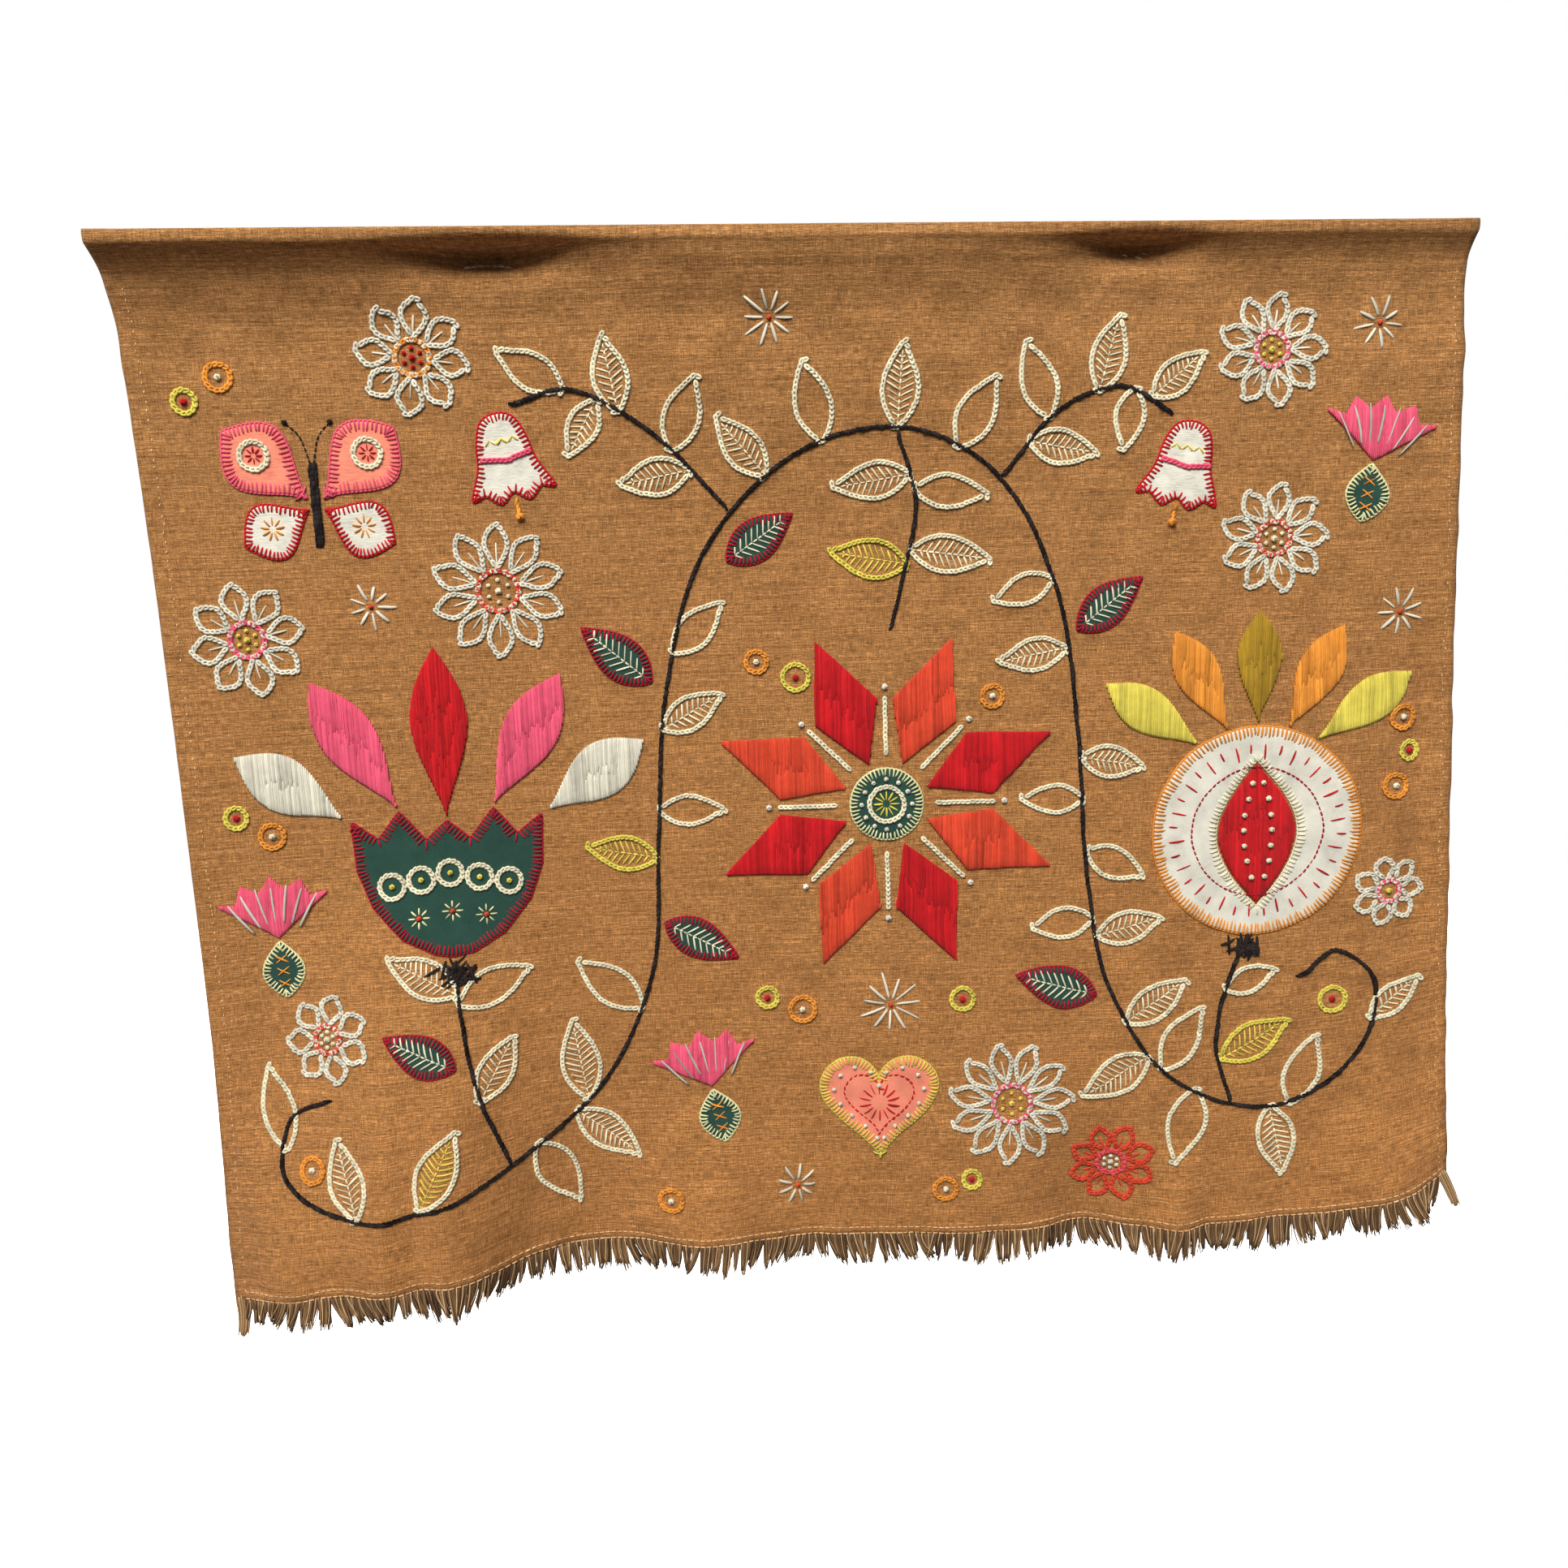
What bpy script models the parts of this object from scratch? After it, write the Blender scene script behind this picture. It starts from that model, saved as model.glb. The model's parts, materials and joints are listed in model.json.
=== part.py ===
"""An embroidered wall hanging: a linen ground with a fringed foot, felt and linen patches, and stitched motifs.

Metres, +Z up. X runs across the hanging, the wall is the plane Y = 0 and the worked face looks along -Y.
The origin is on the wall, at the height of the top edge and half way along it.
"""
import math
import random

import bpy
import numpy as np
from mathutils import Vector
from mathutils.geometry import delaunay_2d_cdt

# Driving sizes of the ground cloth
WIDTH = 0.92
LENGTH = 0.732
CLOTH_THICK = 0.0016
HEM_WIDTH = 0.013
HEM_THICK = 0.0026
RIM_THICK = 0.0032
RIM_FACE = 0.0075
GAP = 0.0003
WALL_CLEARANCE = 0.0016

# How far the rim of the heading stands off the wall at its two corners, and how it falls back below
RIM_STAND_LEFT = 0.0458
RIM_STAND_RIGHT = 0.0264
RIM_CREASE = 0.0260
RIM_STEEP_SHARE = 0.48
RIM_FALL_END = 0.058
RIM_TAIL_SHARE = 0.29
RIM_TAIL_LENGTH = 0.11

# The cloth bellies forward between the two tacks
BELLY_DEPTH = 0.012
BELLY_HALF_WIDTH = 0.15
BELLY_RISE = 0.022
BELLY_FADE = (0.05, 0.17)

# The right side swings away from the wall towards the foot
SWING = {"all": -0.0009, "across": 0.0086, "down": 0.0203, "corner": 0.0358}
SWING_START = 0.10

# Corner drop and corner lift at the foot
LEFT_CORNER_DROP = 0.0282
RIGHT_CORNER_LIFT = 0.0467

# Tacks that hold the cloth to the wall: across, down, half width, reach up, reach down
TACKS = (
    {"across": -0.217, "down": 0.0115, "half_width": 0.045, "up": 0.0042, "down_reach": 0.015},
    {"across": 0.224, "down": 0.0115, "half_width": 0.034, "up": 0.0042, "down_reach": 0.014},
)

# Folds of the foot: across, half width, how far up the fold reaches, depth at the foot
FOLD_COLUMNS = ("across", "half_width", "reach", "depth")
FOLDS = (
    (-0.414, 0.045, 0.20, 0.0298),
    (-0.311, 0.075, 0.34, 0.0688),
    (-0.310, 0.018, 0.26, -0.0141),
    (-0.098, 0.048, 0.12, 0.0197),
    (0.097, 0.119, 0.30, 0.0036),
    (0.191, 0.035, 0.12, -0.0152),
    (0.260, 0.016, 0.07, 0.0096),
    (0.323, 0.047, 0.16, 0.0025),
    (0.412, 0.040, 0.10, 0.0161),
)

# Facets of the ground: from, to, count
COLUMN_ZONES = (
    (-0.460, -0.447, 1),
    (-0.447, -0.210, 15),
    (-0.210, 0.170, 12),
    (0.170, 0.310, 8),
    (0.310, 0.447, 5),
    (0.447, 0.460, 1),
)
ROW_ZONES = (
    (0.000, 0.008, 2),
    (0.008, 0.0185, 2),
    (0.0185, 0.040, 3),
    (0.040, 0.100, 2),
    (0.100, 0.400, 7),
    (0.400, 0.700, 9),
    (0.700, 0.732, 1),
)

# Fringe
FRINGE_LENGTH = 0.027
FRINGE_BAND = 0.003
LOCK_PITCH = 0.0054
LOCK_SHARE = 0.45
LOCK_KNEE = 0.5
LOCK_KNEE_SHARE = 0.8
LOCK_LENGTHS = (0.86, 1.0)
LOCK_WAVE = {"rate": 61.0, "size": 0.004}
FRINGE_SEED = 11
FRINGE_SWAYS = ((34.0, 0.6, 0.0050), (87.0, 2.1, 0.0032), (171.0, 4.0, 0.0012))
TAIL_WIDTH = 0.0075
TAIL_START = 0.18

# Thickness of what is sewn on
FELT = 0.0014
LINEN = 0.0010
SATIN = 0.0015
STEM_THICK = 0.0016
STEM_WIDTH = 0.0036
STEM_STEP = 0.011

COLOURS = {
    "ground": (0.38, 0.19, 0.07),
    "fringe": (0.27, 0.14, 0.06),
    "black": (0.020, 0.014, 0.012),
    "green": (0.025, 0.065, 0.050),
    "white": (0.72, 0.69, 0.60),
    "cream": (0.68, 0.62, 0.45),
    "salmon": (0.86, 0.26, 0.18),
    "red": (0.56, 0.010, 0.014),
    "orange_red": (0.66, 0.055, 0.025),
    "pink": (0.78, 0.10, 0.17),
    "yellow": (0.68, 0.55, 0.07),
    "mustard": (0.38, 0.21, 0.02),
    "orange": (0.75, 0.27, 0.04),
}


def smooth(x):
    """Ease from 0 to 1 as x goes from 0 to 1."""
    x = np.clip(x, 0.0, 1.0)
    return x * x * (3.0 - 2.0 * x)


def stand_off(u, v):
    """Distance of the cloth's middle layer from the wall, u across and v down from the top edge."""
    side = u / (WIDTH / 2)
    drop = v / LENGTH
    swing = SWING["all"] + SWING["across"] * side + SWING["down"] * drop + SWING["corner"] * side * drop
    swing = np.maximum(swing, 0.0) * smooth(v / SWING_START)
    rim = RIM_STAND_LEFT + (RIM_STAND_RIGHT - RIM_STAND_LEFT) * (side + 1) / 2
    steep = 1 - (1 - np.clip((v - RIM_FACE) / (RIM_CREASE - RIM_FACE), 0.0, 1.0)) ** 2
    eased = smooth((v - RIM_FACE) / (RIM_FALL_END - RIM_FACE))
    fall = RIM_STEEP_SHARE * steep + (1 - RIM_STEEP_SHARE) * eased
    tail = RIM_TAIL_SHARE * np.exp(-np.maximum(v - RIM_FALL_END, 0.0) / RIM_TAIL_LENGTH)
    depth = swing + rim * (1 - fall + fall * tail)
    belly = smooth(v / BELLY_RISE) * (1 - smooth((v - BELLY_FADE[0]) / BELLY_FADE[1]))
    depth = depth + BELLY_DEPTH * belly * np.exp(-(u / BELLY_HALF_WIDTH) ** 4)
    for row in FOLDS:
        fold = dict(zip(FOLD_COLUMNS, row))
        rise = smooth((v - (LENGTH - fold["reach"])) / fold["reach"])
        depth = depth + fold["depth"] * rise * np.exp(-((u - fold["across"]) / fold["half_width"]) ** 2)
    for tack in TACKS:
        reach = np.where(v < tack["down"], tack["up"], tack["down_reach"])
        near = ((u - tack["across"]) / tack["half_width"]) ** 2 + ((v - tack["down"]) / reach) ** 2
        depth = depth * (1 - np.exp(-near))
    return depth + WALL_CLEARANCE


def cloth_point(u, v):
    """Points of the cloth's middle layer for arrays of places on the flat cloth."""
    side = u / (WIDTH / 2)
    drop = (v / LENGTH) ** 3
    lift = RIGHT_CORNER_LIFT * np.clip(side, 0, 1) ** 5 - LEFT_CORNER_DROP * np.clip(-side, 0, 1) ** 5
    return np.stack([u, -stand_off(u, v), -v + lift * drop], axis=-1)


def cloth_normal(u, v):
    """Unit normals of the middle layer, on the worked side."""
    step = 0.0008
    across = cloth_point(u + step, v) - cloth_point(u - step, v)
    down = cloth_point(u, v + step) - cloth_point(u, v - step)
    normal = np.cross(down, across)
    return normal / np.linalg.norm(normal, axis=-1, keepdims=True)


def cloth_thickness(u, v):
    """The cloth is doubled along its side hems and rolled at the rim."""
    hem = smooth((np.abs(u) - (WIDTH / 2 - HEM_WIDTH) + 0.001) / 0.002)
    rim = 1 - smooth((v - 0.5 * RIM_FACE) / RIM_FACE)
    return CLOTH_THICK + (HEM_THICK - CLOTH_THICK) * hem + (RIM_THICK - CLOTH_THICK) * rim * (1 - hem)


def zone_lines(zones):
    """Grid lines from rows of start, end and count."""
    lines = [zones[0][0]]
    for start, end, count in zones:
        lines += [start + (end - start) * (k + 1) / count for k in range(count)]
    return np.array(lines)


COLUMNS = zone_lines(COLUMN_ZONES)
ROWS = zone_lines(ROW_ZONES)
GRID_U, GRID_V = np.meshgrid(COLUMNS, ROWS, indexing="ij")
NORMALS = cloth_normal(GRID_U, GRID_V)
HALF = (cloth_thickness(GRID_U, GRID_V) / 2)[..., None]
FRONT = cloth_point(GRID_U, GRID_V) + NORMALS * HALF
BACK = cloth_point(GRID_U, GRID_V) - NORMALS * HALF


def add_object(name, points, faces, colour, roughness=0.9):
    """One named mesh object with its own material."""
    mesh = bpy.data.meshes.new(name)
    mesh.from_pydata([tuple(p) for p in points], [], faces)
    mesh.update()
    material = bpy.data.materials.new(name)
    material.use_nodes = True
    shader = material.node_tree.nodes["Principled BSDF"]
    shader.inputs["Base Color"].default_value = (*COLOURS[colour], 1.0)
    shader.inputs["Roughness"].default_value = roughness
    shader.inputs["Metallic"].default_value = 0.0
    mesh.materials.append(material)
    thing = bpy.data.objects.new(name, mesh)
    bpy.context.scene.collection.objects.link(thing)
    return thing


def close_shell(top, bottom, triangles):
    """Points and faces of a closed skin between two layers that share their triangles."""
    count = len(top)
    faces = [tuple(t) for t in triangles]
    faces += [tuple(count + k for k in reversed(t)) for t in triangles]
    edges = set()
    for a, b, c in triangles:
        edges.update(((a, b), (b, c), (c, a)))
    for a, b in sorted(edges):
        if (b, a) not in edges:
            faces += [(b, a, count + a), (b, count + a, count + b)]
    return list(top) + list(bottom), faces


def build_ground():
    """The ground cloth: one sheet with its rim, side hems and folds."""
    columns, rows = len(COLUMNS), len(ROWS)
    triangles = []
    for i in range(columns - 1):
        for j in range(rows - 1):
            a, b = i * rows + j, (i + 1) * rows + j
            triangles += [(a, a + 1, b + 1), (a, b + 1, b)]
    points, faces = close_shell(FRONT.reshape(-1, 3), BACK.reshape(-1, 3), triangles)
    return add_object("ground_cloth", points, faces, "ground")


def facet_value(grid, u, v):
    """Value of a grid quantity at a place, read along the flat triangles of the ground."""
    i = int(np.clip(np.searchsorted(COLUMNS, u) - 1, 0, len(COLUMNS) - 2))
    j = int(np.clip(np.searchsorted(ROWS, v) - 1, 0, len(ROWS) - 2))
    s = (u - COLUMNS[i]) / (COLUMNS[i + 1] - COLUMNS[i])
    t = (v - ROWS[j]) / (ROWS[j + 1] - ROWS[j])
    if t > s:
        return grid[i, j] * (1 - t) + grid[i, j + 1] * (t - s) + grid[i + 1, j + 1] * s
    return grid[i, j] * (1 - s) + grid[i + 1, j] * (s - t) + grid[i + 1, j + 1] * t


def facet_lines(low, high):
    """Edges of the ground's triangles over a region of the flat cloth."""
    first = np.maximum([np.searchsorted(COLUMNS, low[0]) - 1, np.searchsorted(ROWS, low[1]) - 1], 0)
    last = [np.searchsorted(COLUMNS, high[0]), np.searchsorted(ROWS, high[1])]
    last = np.minimum(last, [len(COLUMNS) - 1, len(ROWS) - 1])
    places, edges, index = [], [], {}
    for i in range(first[0], last[0] + 1):
        for j in range(first[1], last[1] + 1):
            index[i, j] = len(places)
            places.append((COLUMNS[i], ROWS[j]))
    for i, j in index:
        for other in ((i + 1, j), (i, j + 1), (i + 1, j + 1)):
            if other in index:
                edges.append((index[i, j], index[other]))
    return places, edges


def sew_on(name, outline, thick, colour, holes=()):
    """A flat piece laid on the worked face: cut along the ground's facets, so that it lies 0.3 mm off them."""
    places = [tuple(p) for ring in (outline, *holes) for p in ring]
    rings, start = [], 0
    for ring in (outline, *holes):
        rings.append(list(range(start, start + len(ring))))
        start += len(ring)
    low, high = np.min(outline, axis=0), np.max(outline, axis=0)
    grid_places, grid_edges = facet_lines(low, high)
    edges = [(a + start, b + start) for a, b in grid_edges]
    vectors = [Vector(p) for p in places + grid_places]
    flat, _, faces, _, _, owners = delaunay_2d_cdt(vectors, edges, rings, 1, 1e-7)
    kept = [tuple(f) for f, owner in zip(faces, owners) if owner and set(owner) == {0}]
    used = sorted({k for face in kept for k in face})
    place_of = {old: new for new, old in enumerate(used)}
    base = np.array([facet_value(FRONT, *flat[k]) for k in used])
    normal = np.array([facet_value(NORMALS, *flat[k]) for k in used])
    normal /= np.linalg.norm(normal, axis=1, keepdims=True)
    triangles = [tuple(place_of[k] for k in reversed(face)) for face in kept]
    points, faces = close_shell(base + normal * (GAP + thick), base + normal * GAP, triangles)
    return add_object(name, points, faces, colour)


def turned(outline, place, angle=0.0, scale=1.0):
    """Local points, x right and y up, put on the flat cloth at a place, turned anticlockwise by degrees."""
    c, s = math.cos(math.radians(angle)) * scale, math.sin(math.radians(angle)) * scale
    return [(place[0] + x * c - y * s, place[1] - (x * s + y * c)) for x, y in outline]


def spline(points, step, closed=False):
    """Places along a smooth curve through the points, about one step apart."""
    p = [np.array(q, float) for q in points]
    p = [p[-1], *p, p[0], p[1]] if closed else [2 * p[0] - p[1], *p, 2 * p[-1] - p[-2]]
    out = []
    for k in range(1, len(p) - 2):
        count = max(1, round(np.linalg.norm(p[k + 1] - p[k]) / step))
        for t in np.arange(count) / count:
            pull = 2 * p[k - 1] - 5 * p[k] + 4 * p[k + 1] - p[k + 2]
            bend = 3 * p[k] - p[k - 1] - 3 * p[k + 1] + p[k + 2]
            out.append(p[k] + 0.5 * t * (p[k + 1] - p[k - 1] + t * (pull + t * bend)))
    if not closed:
        out.append(p[-2])
    return np.array(out)


def petal(length, width, bias=1.0, steps=7, start=0.0):
    """A leaf or petal from (0, start) up to its tip; a bias over 1 puts its widest part nearer the tip."""
    half = [(0.5 * width * math.sin(math.pi * (k / steps) ** bias), k / steps) for k in range(1, steps)]
    left = [(-w, start + t * length) for w, t in half]
    right = [(w, start + t * length) for w, t in reversed(half)]
    return [(0.0, start), *left, (0.0, start + length), *right]


def disc(radius, steps=20, squash=1.0, centre=(0.0, 0.0)):
    """A round or squashed outline."""
    turn = [2 * math.pi * k / steps for k in range(steps)]
    return [(centre[0] + radius * math.sin(a), centre[1] + radius * squash * math.cos(a)) for a in turn]


def heart(width, steps=24):
    """A heart whose lobes point up."""
    scale = width / 32
    out = []
    for k in range(steps):
        a = 2 * math.pi * k / steps
        y = 13 * math.cos(a) - 5 * math.cos(2 * a) - 2 * math.cos(3 * a) - math.cos(4 * a)
        out.append((16 * scale * math.sin(a) ** 3, scale * y))
    return out


def mirrored(half):
    """A closed outline from its right half, listed from the top centre down to the bottom centre."""
    return [*half, *[(-x, y) for x, y in reversed(half) if x > 1e-9]]


def spline_ring(points, step):
    """A smooth closed outline through the points."""
    return [tuple(p) for p in spline(points, step, closed=True)]


TULIP_CUP = mirrored([(0.0, 0.064), (0.016, 0.050), (0.034, 0.072), (0.050, 0.052), (0.068, 0.066),
                      (0.066, 0.030), (0.056, 0.004), (0.036, -0.020), (0.014, -0.032), (0.0, -0.034)])
BELL = mirrored([(0.0, 0.030), (0.011, 0.026), (0.017, 0.012), (0.020, -0.004), (0.029, -0.024),
                 (0.020, -0.021), (0.010, -0.029), (0.0, -0.022)])

# Stems: name, then their route over the flat cloth
STEMS = {
    "vine_stem": [(-0.372, 0.592), (-0.403, 0.606), (-0.405, 0.648), (-0.355, 0.675), (-0.265, 0.664),
                  (-0.180, 0.612), (-0.132, 0.520), (-0.122, 0.415), (-0.112, 0.310), (-0.082, 0.212),
                  (-0.018, 0.146), (0.060, 0.128), (0.128, 0.162), (0.170, 0.240), (0.186, 0.340),
                  (0.192, 0.440), (0.208, 0.535), (0.256, 0.612), (0.330, 0.640), (0.392, 0.610),
                  (0.408, 0.555), (0.380, 0.522), (0.352, 0.538)],
    "tulip_stem": [(-0.2440, 0.6520), (-0.262, 0.600), (-0.272, 0.545), (-0.275, 0.5015)],
    "star_stem": [(0.058, 0.1330), (0.070, 0.180), (0.062, 0.225), (0.052, 0.2655)],
    "fruit_stem": [(0.300, 0.6310), (0.290, 0.590), (0.296, 0.545), (0.312, 0.5055)],
    "bell_stem_left": [(-0.0640, 0.1780), (-0.112, 0.128), (-0.165, 0.098), (-0.206, 0.106)],
    "bell_stem_right": [(0.1335, 0.1605), (0.170, 0.120), (0.214, 0.104), (0.250, 0.122)],
}

# Felt leaves: name, root, angle, length, width
LEAF_COLUMNS = ("name", "root", "angle", "length", "width")
FELT_LEAVES = (
    ("leaf_a", (-0.122, 0.300), 50, 0.062, 0.030),
    ("leaf_b", (-0.120, 0.480), -118, 0.060, 0.028),
    ("leaf_c", (0.186, 0.272), -52, 0.058, 0.028),
    ("leaf_d", (0.200, 0.545), 74, 0.062, 0.030),
    ("leaf_e", (-0.278, 0.575), 62, 0.056, 0.028),
    ("leaf_f", (-0.064, 0.216), -56, 0.056, 0.028),
)

TULIP_AT = (-0.275, 0.460)
TULIP_PETAL_WIDTH = 0.040
TULIP_PETAL_BIAS = 1.25
# Petals: root across and up from the cup's centre, lean, length, colour
TULIP_PETALS = (
    (-0.074, 0.0700, -56, 0.086, "white"),
    (-0.035, 0.0765, -30, 0.106, "pink"),
    (0.000, 0.0680, 0, 0.122, "red"),
    (0.035, 0.0765, 30, 0.106, "pink"),
    (0.074, 0.0700, 56, 0.086, "white"),
)
STAR_AT = (0.046, 0.395)
STAR_CENTRE = 0.026
STAR_POINTS = 8
STAR_POINT = [(0.0, 0.032), (-0.0245, 0.074), (0.0, 0.130), (0.0245, 0.074)]
STAR_COLOURS = ("red", "orange_red")
FRUIT_AT = (0.318, 0.425)
FRUIT_RADIUS = 0.076
FRUIT_TALL = 1.02
FRUIT_OPENING = {"length": 0.112, "width": 0.062, "start": -0.058}
FRUIT_SEEDS = {"length": 0.104, "width": 0.056, "start": -0.054}
CROWN_GAP = 0.0025
CROWN_ROOT_SHARE = 0.6
CROWN_PETAL = {"length": 0.082, "width": 0.032, "bias": 1.3}
FRUIT_CROWN = ((-56, "yellow"), (-28, "orange"), (0, "mustard"), (28, "orange"), (56, "yellow"))
HEART_AT = (0.036, 0.622)
HEART_WIDTH = 0.088
BUTTERFLY_AT = (-0.345, 0.165)
WING_COLUMNS = ("name", "across", "down", "lean", "length", "width", "bias", "colour")
WINGS = (
    ("upper_wing", 0.006, 0.0, 48, 0.068, 0.048, 1.45, "salmon"),
    ("lower_wing", 0.006, 0.008, 118, 0.050, 0.038, 1.35, "white"),
)
BELL_STEP = 0.009
BELLS = (("bell_left", (-0.214, 0.142), 10), ("bell_right", (0.261, 0.159), -12))
THISTLES = (("thistle_left", (-0.400, 0.505), 4), ("thistle_right", (0.392, 0.190), -10),
            ("thistle_foot", (-0.084, 0.640), 12))
THISTLE_CUP = {"length": 0.040, "width": 0.030, "bias": 0.9, "start": -0.012}
THISTLE_FAN_ROOT = 0.031
THISTLE_FAN_CENTRE = 0.012
THISTLE_FAN_REACH = (0.064, 0.054)
THISTLE_FAN_SPREAD = 40
THISTLE_FAN_TEETH = 9
LEAF_BIAS = 0.8


def build_stems():
    """The black stems, each a narrow raised cord of stitching."""
    for name, route in STEMS.items():
        line = spline(route, STEM_STEP)
        along = np.gradient(line, axis=0)
        along /= np.linalg.norm(along, axis=1, keepdims=True)
        across = np.stack([-along[:, 1], along[:, 0]], axis=1) * STEM_WIDTH / 2
        sew_on(name, [*(line - across), *(line + across)[::-1]], STEM_THICK, "black")


def build_tulip():
    """The large tulip of the left bay: a felt cup under five stitched petals."""
    sew_on("tulip_cup", turned(TULIP_CUP, TULIP_AT), FELT, "green")
    for k, (across, up, angle, length, colour) in enumerate(TULIP_PETALS):
        root = (TULIP_AT[0] + across, TULIP_AT[1] - up)
        shape = petal(length, TULIP_PETAL_WIDTH, TULIP_PETAL_BIAS)
        sew_on(f"tulip_petal_{k + 1}", turned(shape, root, -angle), SATIN, colour)


def build_star():
    """The star rosette of the middle bay: eight stitched points round a felt disc."""
    sew_on("star_centre", turned(disc(STAR_CENTRE, 14), STAR_AT), FELT, "green")
    for k in range(STAR_POINTS):
        angle = 360 * (k + 0.5) / STAR_POINTS
        sew_on(f"star_point_{k + 1}", turned(STAR_POINT, STAR_AT, angle), SATIN, STAR_COLOURS[k % 2])


def build_fruit():
    """The large open fruit of the right bay: a pale body with a stitched heart and a crown of petals."""
    opening = turned(petal(**FRUIT_OPENING, steps=8), FRUIT_AT)
    sew_on("fruit_body", turned(disc(FRUIT_RADIUS, 26, FRUIT_TALL), FRUIT_AT), FELT, "white", [opening])
    sew_on("fruit_seeds", turned(petal(**FRUIT_SEEDS, steps=8), FRUIT_AT), SATIN, "red")
    crown = FRUIT_RADIUS + CROWN_GAP
    for k, (angle, colour) in enumerate(FRUIT_CROWN):
        at = math.radians(angle * CROWN_ROOT_SHARE)
        root = (FRUIT_AT[0] + crown * math.sin(at), FRUIT_AT[1] - crown * FRUIT_TALL * math.cos(at))
        sew_on(f"fruit_crown_{k + 1}", turned(petal(**CROWN_PETAL), root, -angle), SATIN, colour)


def build_small_motifs():
    """The heart, the butterfly, the bells, the thistles and the felt leaves."""
    sew_on("heart_patch", turned(heart(HEART_WIDTH), HEART_AT), FELT, "salmon")
    for row in WINGS:
        wing = dict(zip(WING_COLUMNS, row))
        shape = petal(wing["length"], wing["width"], wing["bias"])
        for side, mark in ((-1, "left"), (1, "right")):
            root = (BUTTERFLY_AT[0] + side * wing["across"], BUTTERFLY_AT[1] + wing["down"])
            sew_on(f"{wing['name']}_{mark}", turned(shape, root, -side * wing["lean"]), LINEN, wing["colour"])
    for name, place, angle in BELLS:
        sew_on(name, turned(spline_ring(BELL, BELL_STEP), place, angle), LINEN, "white")
    for name, place, angle in THISTLES:
        sew_on(f"{name}_cup", turned(petal(**THISTLE_CUP, steps=6), place, angle), FELT, "green")
        fan = [(0.0, THISTLE_FAN_ROOT)]
        for k in range(THISTLE_FAN_TEETH):
            at = math.radians(THISTLE_FAN_SPREAD * (2 * k / (THISTLE_FAN_TEETH - 1) - 1))
            reach = THISTLE_FAN_REACH[k % 2]
            fan.append((reach * math.sin(at), THISTLE_FAN_CENTRE + reach * math.cos(at)))
        sew_on(f"{name}_fan", turned(fan, place, angle), SATIN, "pink")
    for row in FELT_LEAVES:
        leaf = dict(zip(LEAF_COLUMNS, row))
        outline = turned(petal(leaf["length"], leaf["width"], LEAF_BIAS), leaf["root"], leaf["angle"])
        sew_on(leaf["name"], outline, FELT, "green")


def lock_sway(u):
    """How far the locks lean sideways, in drifts along the foot."""
    return sum(size * math.sin(rate * u + start) for rate, start, size in FRINGE_SWAYS)


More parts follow.
